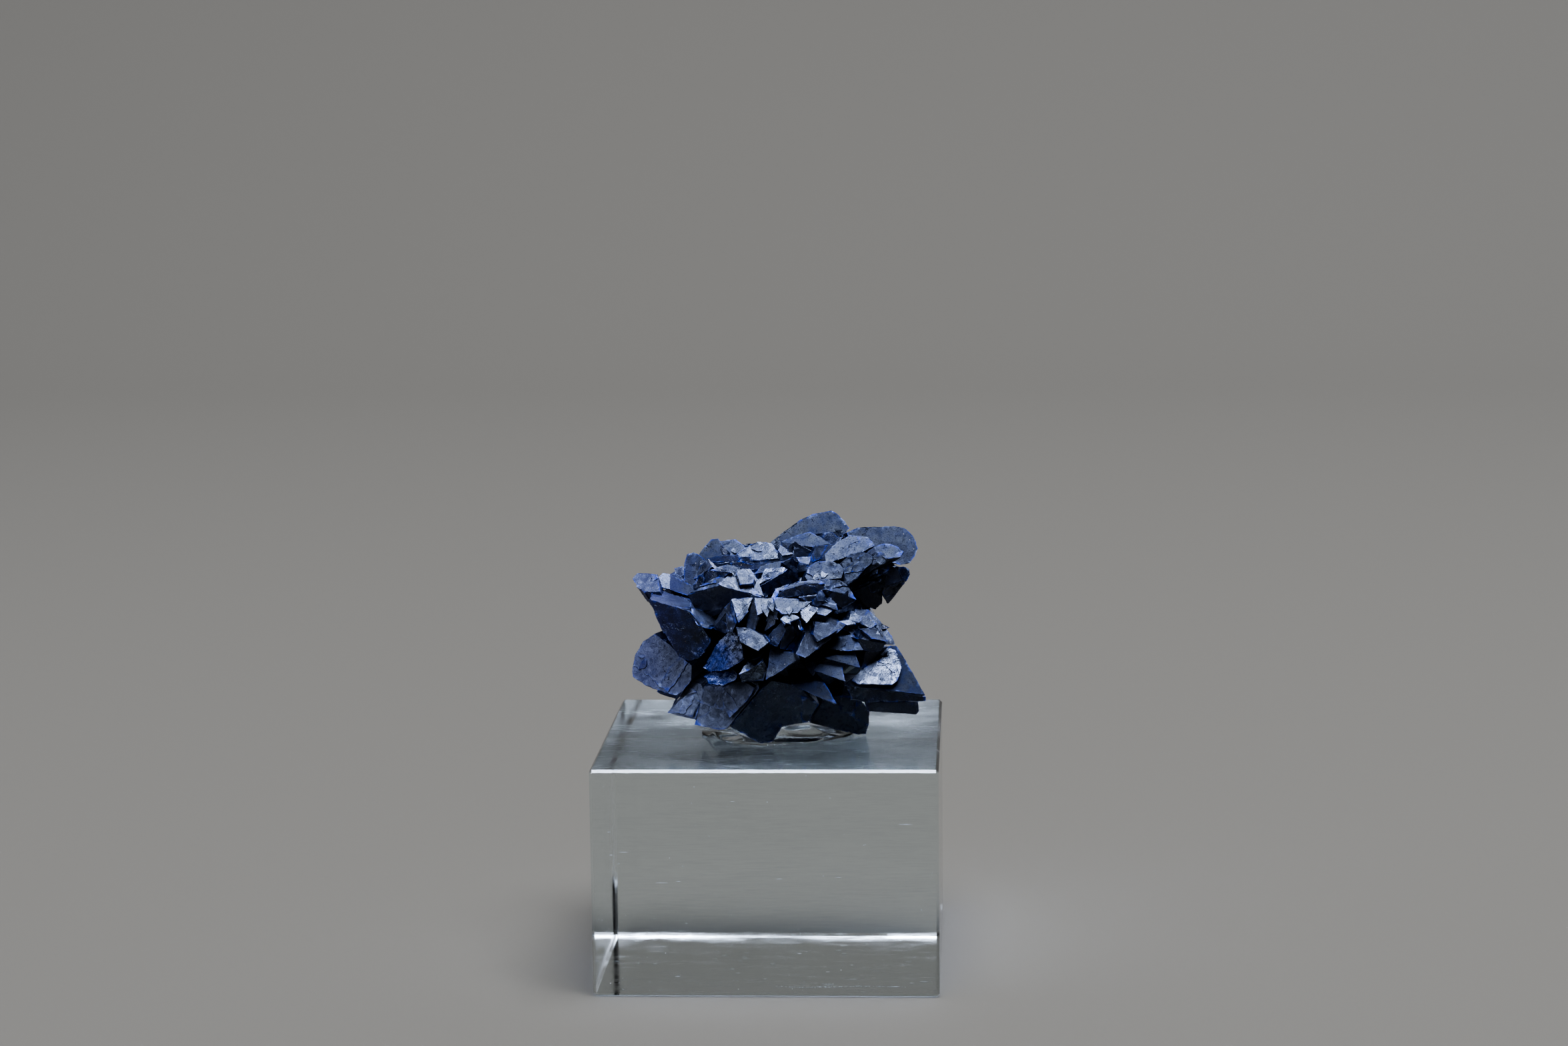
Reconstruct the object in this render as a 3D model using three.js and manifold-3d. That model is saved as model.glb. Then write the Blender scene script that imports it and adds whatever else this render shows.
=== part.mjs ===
// Azurite cluster held with clear gel on a clear block.
// Millimetres, +Z up, +Y to the back. The origin is under the middle of the block.
import * as THREE from 'three';
import { ConvexGeometry } from 'three/addons/geometries/ConvexGeometry.js';
import { mergeVertices } from 'three/addons/utils/BufferGeometryUtils.js';
import Module from 'manifold-3d';

const blockWidth = 38.1;
const blockDepth = 38.1;
const blockHeight = 25.4;
const blockBevel = 0.3;
const restGap = 0.3;

// The crystals grow out from this point. The core lump around it ties them together.
const heart = new THREE.Vector3(0.5, 0.5, 37.6);
const coreRadii = new THREE.Vector3(11.5, 8.0, 8.5);
const shellRadii = new THREE.Vector3(15.0, 11.5, 11.0);

// Facet outlines are drawn as [x, z] on the plane y = 0, as seen from this point.
const viewpoint = new THREE.Vector3(23.6, -398, 111.7);

const wasm = await Module();
wasm.setup();

const azurite = new THREE.MeshStandardMaterial({ color: 0x2a3f86, roughness: 0.42, metalness: 0 });
const gelClear = new THREE.MeshStandardMaterial({ color: 0xe6edf0, roughness: 0.08, metalness: 0 });
const acrylic = new THREE.MeshStandardMaterial({ color: 0xe9f1f2, roughness: 0.03, metalness: 0 });
gelClear.transparent = true;
gelClear.opacity = 0.35;
acrylic.transparent = true;
acrylic.opacity = 0.3;

const radians = THREE.MathUtils.degToRad;

// A repeatable scatter value from 0 to 1
function scatter(index, salt) {
  const value = Math.sin(index * 12.9898 + salt * 78.233) * 43758.5453;
  return value - Math.floor(value);
}

function solidOf(geometry) {
  const bare = geometry.index ? geometry.toNonIndexed() : geometry.clone();
  bare.deleteAttribute('normal');
  bare.deleteAttribute('uv');
  const merged = mergeVertices(bare, 1e-4);
  return new wasm.Manifold(new wasm.Mesh({
    numProp: 3,
    vertProperties: new Float32Array(merged.attributes.position.array),
    triVerts: new Uint32Array(merged.index.array),
  }));
}

// Normal of a facet turned to the right of the front and leaned up from upright
function facetNormal(turn, lean) {
  const t = radians(turn);
  const l = radians(lean);
  return new THREE.Vector3(Math.sin(t) * Math.cos(l), -Math.cos(t) * Math.cos(l), Math.sin(l));
}

function sightLine(x, z) {
  const aim = new THREE.Vector3(x, 0, z).sub(viewpoint).normalize();
  return new THREE.Ray(viewpoint, aim);
}

function middleOf(points) {
  const sum = points.reduce((total, point) => total.add(point), new THREE.Vector3());
  return sum.divideScalar(points.length);
}

const grown = [];
const lowCrystals = [];

// One crystal: a flat outer facet, a thin rim and sides that draw in to its root
function crystal(depth, turn, lean, thick, taper, outline, root) {
  const meanX = outline.reduce((sum, corner) => sum + corner[0], 0) / outline.length;
  const meanZ = outline.reduce((sum, corner) => sum + corner[1], 0) / outline.length;
  const front = new THREE.Plane(new THREE.Vector3(0, 1, 0), -depth);
  const centre = sightLine(meanX, meanZ).intersectPlane(front, new THREE.Vector3());
  const normal = facetNormal(turn, lean);
  const plane = new THREE.Plane().setFromNormalAndCoplanarPoint(normal, centre);
  const face = outline.map(([x, z]) => sightLine(x, z).intersectPlane(plane, new THREE.Vector3()));
  buildCrystal(face, thick, taper, root);
}

function buildCrystal(face, thick, taper, root) {
  const centre = middleOf(face);
  const inward = root
    ? new THREE.Vector3(...root)
    : heart.clone().sub(centre).normalize().multiplyScalar(thick);
  const points = [];
  for (const corner of face) {
    points.push(corner);
    points.push(corner.clone().sub(centre).multiplyScalar(taper).add(centre).add(inward));
  }
  const geometry = new ConvexGeometry(points);
  grown.push(solidOf(geometry));
  if (points.some((point) => point.z < blockHeight + 2)) lowCrystals.push(geometry);
}

// Each crystal below: depth, turn, lean, thickness, taper, outline, way to its root.

// Left shelf and the upright block in front of it
crystal(-2.5, -30, 50, 6, 0.45, [[-15.7, 43.3], [-15.2, 43.9], [-12.9, 43.7], [-12.6, 41.8],
  [-14.3, 41.8], [-15.2, 42.5]], [2.6, 1.5, -5.2]);
crystal(-1.5, 8, 42, 5, 0.5, [[-12.9, 43.4], [-12.2, 43.9], [-11.4, 43.8], [-11.5, 42.0],
  [-12.8, 42.4]]);
crystal(-8.2, -22, -6, 5, 0.93, [[-13.8, 40.9], [-12.5, 40.3], [-9.3, 39.5], [-8.0, 38.0],
  [-7.0, 36.0], [-8.0, 34.2], [-9.5, 33.8], [-10.6, 34.3], [-12.2, 37.0], [-13.2, 39.6]],
[-0.2, 5.5, 0.5]);
crystal(-8.6, 35, 40, 3, 0.6, [[-9.1, 39.9], [-8.7, 39.9], [-8.0, 38.4], [-7.1, 37.9],
  [-7.2, 37.5], [-8.4, 37.9], [-9.0, 39.0]]);

// Plates standing behind the left block
crystal(-0.5, -15, 20, 5, 0.7, [[-11.5, 42.3], [-11.3, 43.7], [-10.9, 43.9], [-10.3, 43.0],
  [-10.1, 41.3], [-11.3, 41.3]]);
crystal(1.5, -5, 22, 4, 0.7, [[-10.9, 44.5], [-10.0, 44.7], [-9.7, 43.2], [-10.9, 43.4]]);
crystal(0.0, -12, 18, 5, 0.75, [[-9.9, 42.8], [-9.8, 45.0], [-9.5, 46.1], [-8.7, 46.3],
  [-8.1, 46.0], [-8.4, 43.5], [-8.8, 42.0], [-9.5, 42.0]]);
crystal(2.0, -12, 34, 4, 0.6, [[-8.3, 45.8], [-7.5, 46.9], [-6.7, 47.8], [-5.9, 47.9],
  [-5.6, 46.0], [-7.8, 45.0]]);
crystal(3.2, 12, 38, 4, 0.6, [[-6.3, 47.5], [-5.0, 47.6], [-4.0, 47.8], [-3.4, 47.4],
  [-2.7, 46.7], [-4.0, 46.0], [-6.2, 45.6]]);

// Thin plates stacked flat, seen edge on
crystal(0.0, -8, 76, 3, 0.8, [[-7.2, 45.5], [-5.2, 45.9], [-2.3, 45.7], [-2.0, 45.2],
  [-4.5, 45.1], [-6.9, 45.0]]);
crystal(-2.0, 8, 70, 3, 0.8, [[-4.6, 45.1], [-3.2, 45.2], [-1.7, 44.8], [-1.5, 44.4],
  [-3.0, 44.2], [-4.4, 44.6]]);
crystal(-4.0, -5, 60, 3, 0.7, [[-7.3, 44.1], [-5.0, 44.9], [-3.4, 44.5], [-4.2, 43.9],
  [-5.6, 43.8]]);
crystal(-5.4, -32, 4, 4, 0.75, [[-9.0, 42.2], [-8.2, 43.6], [-7.1, 44.3], [-4.5, 44.0],
  [-6.0, 43.0], [-8.0, 42.2]]);
crystal(-2.6, -35, 15, 4, 0.7, [[-8.7, 43.2], [-7.9, 44.8], [-7.0, 45.5], [-6.6, 44.6],
  [-7.6, 43.6]]);

// Roof crystal with its overhung front
crystal(-7.2, -26, 60, 5, 0.5, [[-9.3, 41.6], [-7.4, 42.7], [-5.2, 43.8], [-5.5, 42.6],
  [-8.0, 42.0]]);
crystal(-7.0, 14, 52, 5, 0.5, [[-6.0, 42.6], [-4.0, 44.3], [-2.4, 44.4], [-1.5, 43.1],
  [-0.8, 41.2], [-4.5, 41.9]]);
crystal(-7.9, -6, -26, 4, 0.8, [[-9.5, 41.4], [-5.9, 42.5], [-1.1, 41.2], [-4.6, 40.0],
  [-7.0, 38.8], [-8.6, 39.8]]);

// Centre top pair
crystal(-6.2, -16, 48, 4, 0.6, [[-1.3, 42.6], [-1.0, 43.6], [-0.6, 44.4], [1.3, 44.6],
  [1.9, 44.3], [0.4, 43.4]]);
crystal(-6.6, 16, -14, 4, 0.7, [[-1.2, 42.4], [1.8, 44.2], [2.9, 44.1], [3.1, 43.0],
  [1.0, 42.1], [-0.7, 41.2]]);

// Lens and saddle crystals right of the centre
crystal(-8.4, -10, 46, 3, 0.6, [[0.0, 41.1], [0.5, 42.0], [2.0, 42.6], [0.5, 41.1]]);
crystal(-7.6, 4, 68, 4, 0.6, [[0.9, 41.9], [3.3, 42.9], [5.3, 43.1], [6.2, 42.7], [5.0, 42.6],
  [2.0, 42.0]]);
crystal(-8.6, 6, -16, 4, 0.8, [[0.5, 41.2], [1.5, 42.0], [4.0, 42.7], [5.3, 42.7], [6.1, 42.2],
  [5.0, 41.6], [2.0, 41.1]]);
crystal(-6.6, 24, 40, 4, 0.6, [[5.3, 42.9], [6.2, 43.2], [7.8, 43.0], [8.8, 42.3], [9.6, 40.8],
  [8.2, 41.5], [6.0, 42.1]]);
crystal(-7.6, 26, -14, 4, 0.8, [[6.0, 42.0], [8.3, 41.5], [9.5, 40.8], [8.0, 39.9],
  [6.9, 40.6]]);
crystal(-8.6, 10, 52, 3, 0.6, [[3.2, 41.2], [5.3, 41.6], [6.0, 41.5], [7.4, 40.3], [7.6, 39.7],
  [6.2, 40.4], [5.2, 41.1]]);
crystal(-9.2, 12, -8, 3, 0.8, [[3.2, 41.1], [5.2, 41.3], [7.3, 39.9], [5.0, 40.0]]);

// Front ridge of three bright facets
crystal(-10.0, -6, 34, 5, 0.55, [[-4.5, 40.9], [-2.1, 41.1], [-2.7, 39.6], [-3.8, 38.3]],
  [-0.8, 4.2, -2.6]);
crystal(-10.3, 0, 38, 5, 0.55, [[-1.9, 41.0], [0.2, 41.0], [0.3, 40.0], [-0.8, 39.3],
  [-1.6, 39.0]], [-0.8, 4.2, -2.4]);
crystal(-10.1, 8, 40, 5, 0.55, [[0.2, 41.2], [4.7, 40.7], [2.9, 39.3], [1.2, 39.2],
  [0.5, 39.8]], [-0.6, 4.2, -2.4]);
crystal(-9.2, -38, -4, 4, 0.8, [[-6.9, 37.6], [-5.3, 40.0], [-4.6, 40.7], [-4.8, 38.6],
  [-5.2, 36.9]]);
crystal(-9.8, -30, 2, 4, 0.8, [[-5.1, 39.4], [-4.6, 40.8], [-3.8, 38.5], [-4.4, 37.2],
  [-5.1, 37.2]]);
crystal(-10.2, -28, 0, 4, 0.8, [[-2.7, 38.6], [-2.0, 40.9], [-1.5, 38.9], [-2.0, 37.3],
  [-2.8, 37.7]]);
crystal(-10.2, -26, 4, 4, 0.8, [[-0.3, 38.7], [0.3, 40.9], [0.8, 39.6], [0.4, 38.0],
  [-0.8, 37.2]]);

// Small bright wedges below the ridge
crystal(-10.9, -4, 44, 4, 0.6, [[1.0, 38.6], [1.6, 39.2], [2.6, 39.1], [3.1, 38.8], [2.2, 38.3],
  [1.5, 38.0]], [-0.4, 3.6, -1.8]);
crystal(-10.2, 10, 40, 3, 0.6, [[1.7, 39.2], [2.2, 39.8], [2.5, 39.4], [2.1, 39.1]]);
crystal(-10.4, 4, 40, 4, 0.6, [[3.3, 39.5], [4.4, 40.2], [5.4, 39.9], [4.9, 39.3], [4.0, 38.1],
  [3.4, 38.8]]);
crystal(-9.4, 10, 50, 4, 0.6, [[4.4, 40.1], [5.5, 40.1], [7.1, 39.7], [6.2, 39.0],
  [5.0, 39.2]]);
crystal(-10.8, -50, 10, 3, 0.7, [[2.9, 38.8], [3.1, 38.8], [3.6, 37.4], [3.3, 37.3]]);
crystal(-10.4, -22, 8, 4, 0.8, [[-0.5, 36.6], [1.2, 38.3], [1.6, 37.2], [0.6, 35.4],
  [-0.3, 35.8]]);
crystal(-9.6, 30, -8, 4, 0.8, [[1.2, 38.2], [3.0, 38.5], [3.7, 36.6], [2.6, 35.0], [0.9, 35.2]]);

// Broad facet right of the centre
crystal(-9.8, 14, 16, 5, 0.7, [[4.7, 38.8], [5.3, 39.2], [7.0, 38.5], [8.5, 38.0], [7.5, 37.0],
  [5.0, 35.3], [3.8, 34.1], [2.7, 34.6], [3.4, 35.2], [4.2, 37.0]]);

// Frosted lump, the rough broken patch and the lumps under it
crystal(-11.2, -6, 32, 4, 0.75, [[-4.0, 37.7], [-2.6, 37.6], [-2.0, 37.1], [-1.0, 36.7],
  [-0.4, 35.9], [-1.6, 34.9], [-2.4, 35.3], [-3.6, 36.0]]);
crystal(-9.8, -22, 8, 4, 0.8, [[-7.8, 33.0], [-6.0, 36.0], [-4.4, 37.5], [-3.4, 35.6],
  [-3.2, 34.0], [-5.0, 32.8], [-7.0, 32.5]]);
crystal(-8.6, -20, 30, 3, 0.7, [[-9.1, 32.4], [-8.1, 33.1], [-7.6, 32.4], [-8.0, 31.7],
  [-8.8, 31.6]]);
crystal(-9.4, -8, 26, 4, 0.75, [[-7.8, 32.0], [-6.5, 32.7], [-5.0, 33.1], [-4.0, 32.2],
  [-4.2, 31.6], [-5.8, 30.9], [-7.0, 31.1]]);
crystal(-10.2, 8, 40, 4, 0.7, [[-3.8, 32.2], [-2.8, 33.7], [-1.2, 34.2], [-0.9, 33.9],
  [-2.5, 32.8]]);
crystal(-9.8, 6, -18, 3, 0.8, [[-3.7, 32.1], [-1.0, 33.9], [-0.6, 33.0], [-1.0, 31.5],
  [-3.5, 31.4]]);
crystal(-10.2, -8, 22, 5, 0.7, [[-0.2, 35.2], [2.8, 34.7], [3.2, 34.1], [2.2, 33.5],
  [0.6, 32.3], [-0.7, 31.6], [-0.5, 33.0]]);

// Lower left plates
crystal(-4.8, -28, 16, 5, 0.8, [[-13.3, 36.9], [-14.6, 36.0], [-15.5, 34.5], [-15.9, 33.0],
  [-15.9, 32.0], [-14.5, 31.0], [-13.0, 30.4], [-11.0, 29.8], [-10.2, 30.3], [-9.3, 31.5],
  [-9.2, 33.3], [-10.2, 34.2], [-12.0, 36.0]], [3.6, 4.2, 1.6]);
crystal(-5.0, -10, -4, 4, 0.8, [[-13.2, 30.3], [-10.2, 30.4], [-10.4, 29.7], [-11.0, 29.4],
  [-13.0, 30.0]]);
crystal(-6.6, -18, 12, 5, 0.75, [[-12.0, 27.8], [-10.0, 30.0], [-9.1, 31.3], [-8.1, 31.1],
  [-7.7, 29.8], [-7.7, 28.0], [-8.3, 27.0], [-8.9, 27.0], [-10.5, 27.5]]);
crystal(-7.8, -8, 10, 5, 0.75, [[-7.8, 30.8], [-5.8, 30.8], [-4.3, 31.5], [-3.0, 31.6],
  [-1.6, 31.1], [-1.5, 30.5], [-3.0, 28.7], [-4.8, 26.6], [-5.3, 25.9], [-6.3, 25.8],
  [-8.9, 26.4], [-7.9, 27.4]]);

// Dark undersides that reach the block
crystal(-6.9, 14, -10, 4, 0.75, [[-4.9, 26.2], [-1.4, 24.2], [-0.3, 24.4], [0.0, 25.1],
  [1.1, 26.2], [3.9, 26.6], [5.3, 28.8], [3.0, 30.8], [0.0, 31.5], [-1.5, 30.2]]);
crystal(-1.8, 10, -8, 5, 0.75, [[4.2, 26.6], [7.0, 25.9], [9.5, 25.3], [10.6, 25.3],
  [10.9, 26.5], [11.0, 28.2], [9.0, 30.0], [6.0, 29.5]]);

// Thick plate at the lower right with a second step under it
crystal(-5.2, 16, 34, 4, 0.75, [[8.3, 31.0], [10.2, 32.3], [11.7, 33.4], [13.4, 35.5],
  [14.1, 35.5], [15.5, 33.2], [16.4, 31.3], [17.3, 29.8], [16.3, 30.2], [13.5, 30.7],
  [9.5, 30.8]], [-1.8, 3.0, -2.2]);
crystal(-6.0, 12, -6, 4, 0.85, [[8.4, 30.9], [13.4, 30.6], [17.4, 29.6], [17.4, 29.1],
  [11.0, 29.0], [9.0, 29.4]], [-1.6, 4.0, 0.8]);
crystal(-4.4, 10, -8, 4, 0.85, [[10.6, 29.0], [16.5, 29.0], [16.6, 28.0], [16.4, 27.6],
  [10.8, 28.0]], [-1.2, 4.0, 0.8]);

// Right slope and the wedges below it
crystal(-5.8, 32, 26, 5, 0.65, [[9.5, 39.6], [11.0, 39.6], [12.0, 38.7], [13.0, 37.5],
  [13.6, 36.6], [14.0, 35.6], [12.5, 35.7], [10.2, 36.2], [9.2, 37.0], [8.2, 37.4]]);
crystal(-6.6, 28, -22, 3, 0.8, [[9.6, 36.4], [12.9, 35.7], [12.4, 35.0], [10.5, 35.0]]);
crystal(-7.0, 14, 34, 3, 0.7, [[9.1, 39.6], [10.3, 38.8], [10.0, 38.2], [8.8, 38.5]]);
crystal(-7.6, 16, 38, 3, 0.7, [[7.7, 38.3], [8.8, 38.5], [9.6, 38.1], [8.6, 37.9]]);
crystal(-8.0, 10, 30, 4, 0.7, [[9.2, 36.9], [10.4, 35.0], [8.2, 34.9], [6.3, 35.2],
  [7.8, 36.5]]);
crystal(-8.4, 14, 34, 4, 0.7, [[6.1, 34.1], [8.3, 34.4], [9.4, 34.8], [10.0, 33.0],
  [8.4, 33.5]]);
crystal(-8.8, 4, 34, 4, 0.7, [[3.8, 33.0], [6.0, 33.5], [7.5, 33.6], [8.0, 32.8], [8.3, 31.4],
  [7.0, 32.0], [5.5, 32.5]]);
crystal(-9.0, 0, 30, 4, 0.7, [[2.2, 31.0], [3.5, 30.6], [4.9, 31.4], [6.0, 31.2], [7.3, 28.8],
  [5.0, 29.7]]);
crystal(-5.0, 40, -6, 4, 0.8, [[10.2, 32.9], [10.6, 34.8], [12.4, 35.0], [13.3, 35.4],
  [11.7, 33.5]]);

// Growth steps that lie on the broad facets
crystal(-5.15, -22, 20, 1, 0.96, [[-12.5, 34.6], [-11.4, 34.0], [-10.0, 33.8], [-9.3, 33.0],
  [-9.4, 31.6], [-10.3, 30.5], [-11.0, 29.9], [-12.3, 30.6], [-11.9, 32.4]]);
crystal(-6.95, -14, 14, 1, 0.96, [[-11.6, 28.0], [-10.2, 29.4], [-9.0, 29.8], [-8.6, 28.6],
  [-9.2, 27.3], [-10.4, 27.7]]);
crystal(-8.1, -10, 12, 1, 0.96, [[-5.7, 30.7], [-4.3, 31.3], [-3.2, 31.4], [-2.0, 30.6],
  [-3.0, 29.0], [-4.9, 27.2], [-5.5, 28.2]]);
crystal(-5.6, 14, 36, 1, 0.96, [[9.8, 31.1], [11.6, 32.8], [13.4, 35.2], [14.0, 35.0],
  [14.7, 33.0], [14.3, 31.6], [13.6, 31.0]]);
crystal(-6.2, 28, 28, 1, 0.96, [[9.7, 38.9], [11.0, 39.0], [11.9, 38.0], [11.3, 37.5],
  [10.4, 37.9]]);
crystal(-6.3, 34, 24, 1, 0.96, [[10.2, 37.4], [11.6, 37.6], [12.6, 36.9], [13.2, 36.0],
  [11.4, 36.3]]);
crystal(-10.1, 18, 14, 1, 0.96, [[5.0, 38.3], [6.8, 38.1], [7.6, 37.4], [6.4, 36.6],
  [5.2, 36.0], [4.7, 36.8]]);
crystal(-7.4, 10, 56, 1, 0.96, [[-3.9, 43.9], [-2.6, 44.0], [-1.9, 43.2], [-2.1, 42.7],
  [-3.4, 42.6]]);
crystal(4.2, 8, 32, 1, 0.95, [[2.6, 49.0], [4.6, 50.1], [6.6, 50.5], [7.4, 49.9], [6.4, 49.2],
  [4.0, 48.8]]);

// Top: the far peak and the plates that step down from it
crystal(4.6, 6, 30, 5, 0.6, [[0.0, 47.4], [1.5, 48.6], [3.0, 49.7], [4.7, 50.6], [6.9, 51.0],
  [7.6, 50.6], [8.4, 49.8], [8.9, 49.0], [6.0, 48.6], [2.5, 47.8]]);
crystal(2.2, 2, 44, 4, 0.6, [[1.2, 47.5], [3.0, 48.2], [4.5, 48.6], [5.6, 48.0], [6.8, 47.2],
  [4.8, 46.9], [3.5, 47.0]]);
crystal(0.2, -18, 12, 4, 0.7, [[4.8, 46.3], [5.2, 47.0], [7.3, 47.2], [6.5, 46.6], [5.8, 45.5],
  [4.9, 45.2]]);
crystal(1.0, -8, 48, 4, 0.6, [[-3.9, 46.1], [-2.3, 47.2], [-1.2, 47.5], [0.1, 47.3],
  [0.7, 46.5], [1.2, 45.6], [-0.4, 45.6], [-2.5, 45.3]]);
crystal(0.2, 12, 40, 3, 0.6, [[0.8, 46.4], [1.1, 47.1], [2.6, 46.0], [1.3, 45.8]]);
crystal(-3.4, -6, 44, 4, 0.6, [[-1.8, 43.8], [-1.2, 44.6], [-0.4, 45.0], [1.5, 45.3],
  [1.9, 44.6], [0.0, 44.2]]);
crystal(-4.0, 12, -6, 3, 0.8, [[1.2, 45.1], [2.2, 45.5], [3.9, 44.9], [4.2, 44.2],
  [2.8, 43.9]]);
crystal(-1.0, 4, 52, 3, 0.7, [[2.8, 45.7], [4.6, 45.8], [4.3, 44.9], [3.3, 45.1]]);
crystal(0.4, 6, -12, 3, 0.8, [[2.0, 47.0], [2.8, 47.5], [4.6, 46.4], [2.8, 45.9]]);

// Rounded group at the top right, overhanging the slope
crystal(-1.2, 4, 40, 5, 0.7, [[6.1, 46.0], [7.5, 47.4], [9.0, 48.2], [11.0, 48.0],
  [11.8, 47.0], [10.5, 46.3], [8.5, 46.0], [7.0, 45.2], [6.2, 45.3]]);
crystal(-4.4, 0, 30, 5, 0.75, [[3.9, 43.5], [4.2, 44.4], [5.0, 45.1], [6.5, 45.3],
  [7.8, 44.9], [8.3, 44.2], [8.0, 43.2], [6.3, 43.2], [4.2, 42.9]]);
crystal(-3.6, 14, 24, 5, 0.7, [[8.0, 45.0], [9.0, 46.1], [10.5, 46.3], [11.5, 45.8],
  [11.4, 45.0], [9.9, 43.6], [8.7, 42.6], [8.3, 43.6]]);
crystal(-2.2, 20, 40, 4, 0.7, [[11.7, 46.8], [12.6, 47.2], [13.5, 47.2], [14.4, 46.8],
  [15.0, 46.2], [14.6, 45.6], [13.2, 45.4], [12.0, 46.2]]);
crystal(-3.0, 16, 18, 3, 0.8, [[12.0, 45.8], [12.4, 46.3], [12.9, 46.1], [13.1, 45.5],
  [12.9, 45.0], [12.4, 44.8], [12.0, 45.1]]);
crystal(3.2, 12, 24, 3, 0.85, [[8.6, 48.5], [10.0, 49.1], [14.0, 49.2], [15.3, 48.9],
  [16.2, 48.0], [16.6, 46.7], [16.3, 45.8], [15.7, 45.0], [14.6, 44.8], [9.6, 46.2]],
[-1.4, 2.2, -0.4]);
crystal(-1.2, 36, 12, 4, 0.75, [[14.2, 44.6], [15.0, 44.6], [15.6, 44.3], [15.7, 43.7],
  [15.3, 42.9], [14.8, 43.0], [14.5, 43.9]]);
crystal(-0.4, 24, -22, 5, 0.8, [[9.2, 42.4], [10.2, 43.7], [11.0, 44.7], [12.6, 44.0],
  [12.9, 42.6], [12.4, 40.3], [11.8, 39.7], [10.2, 40.2], [9.6, 41.0]], [-1.5, 5.0, 0.6]);
crystal(-0.8, 30, -12, 4, 0.75, [[12.6, 41.6], [13.2, 40.3], [14.2, 41.5], [15.1, 42.7],
  [14.5, 44.5], [13.6, 44.6], [13.0, 43.4]], [-1.5, 4.0, 0.8]);
crystal(-2.4, -40, 14, 3, 0.7, [[11.2, 44.7], [11.5, 45.3], [12.1, 44.3], [12.0, 43.8],
  [11.4, 44.0]]);
crystal(-2.0, 10, 38, 3, 0.7, [[11.0, 42.9], [11.4, 43.3], [11.8, 43.8], [12.5, 43.3],
  [12.5, 43.0], [11.6, 42.9]]);
crystal(-2.2, 30, 30, 3, 0.7, [[12.2, 44.0], [12.8, 44.5], [12.9, 44.1], [12.3, 43.6]]);
crystal(-2.0, 24, 12, 3, 0.7, [[13.0, 45.3], [13.4, 45.4], [14.0, 44.8], [13.2, 44.1]]);
crystal(-6.0, -10, 20, 3, 0.7, [[9.6, 40.2], [10.2, 40.9], [10.6, 40.7], [10.1, 39.8]]);

// Core lump
const corePoints = [];
const coreCount = 46;
for (let i = 0; i < coreCount; i += 1) {
  const level = 1 - (2 * i + 1) / coreCount;
  const swing = i * 2.399963;
  const ring = Math.sqrt(1 - level * level);
  const bump = 0.9 + 0.18 * scatter(i, 3);
  corePoints.push(new THREE.Vector3(
    heart.x + coreRadii.x * bump * ring * Math.cos(swing),
    heart.y + coreRadii.y * bump * ring * Math.sin(swing),
    heart.z + coreRadii.z * bump * level,
  ));
}
grown.push(solidOf(new ConvexGeometry(corePoints)));

// Outline of the whole cluster as seen from the viewpoint
const silhouette = [[-15.4, 43.4], [-11.6, 43.6], [-9.6, 45.8], [-7.4, 46.8], [-5.8, 47.6],
  [-3.8, 47.4], [-1.0, 47.0], [2.0, 48.0], [6.8, 49.8], [9.0, 48.6], [14.5, 48.6], [16.2, 46.6],
  [14.6, 42.6], [12.8, 40.4], [11.0, 39.9], [13.6, 35.6], [16.2, 30.2], [10.5, 28.4],
  [9.0, 26.2], [-4.0, 26.4], [-8.0, 27.2], [-11.4, 28.2], [-15.2, 32.2], [-13.0, 36.6],
  [-12.6, 38.6]];

function insideOutline(point) {
  const sight = new THREE.Ray(viewpoint, point.clone().sub(viewpoint).normalize());
  const flat = new THREE.Plane(new THREE.Vector3(0, 1, 0), 0);
  const seen = sight.intersectPlane(flat, new THREE.Vector3());
  let inside = false;
  silhouette.forEach(([ax, az], i) => {
    const [bx, bz] = silhouette[(i + 1) % silhouette.length];
    const crosses = (az > seen.z) !== (bz > seen.z);
    if (crosses && seen.x < (bx - ax) * (seen.z - az) / (bz - az) + ax) inside = !inside;
  });
  return inside;
}

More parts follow.
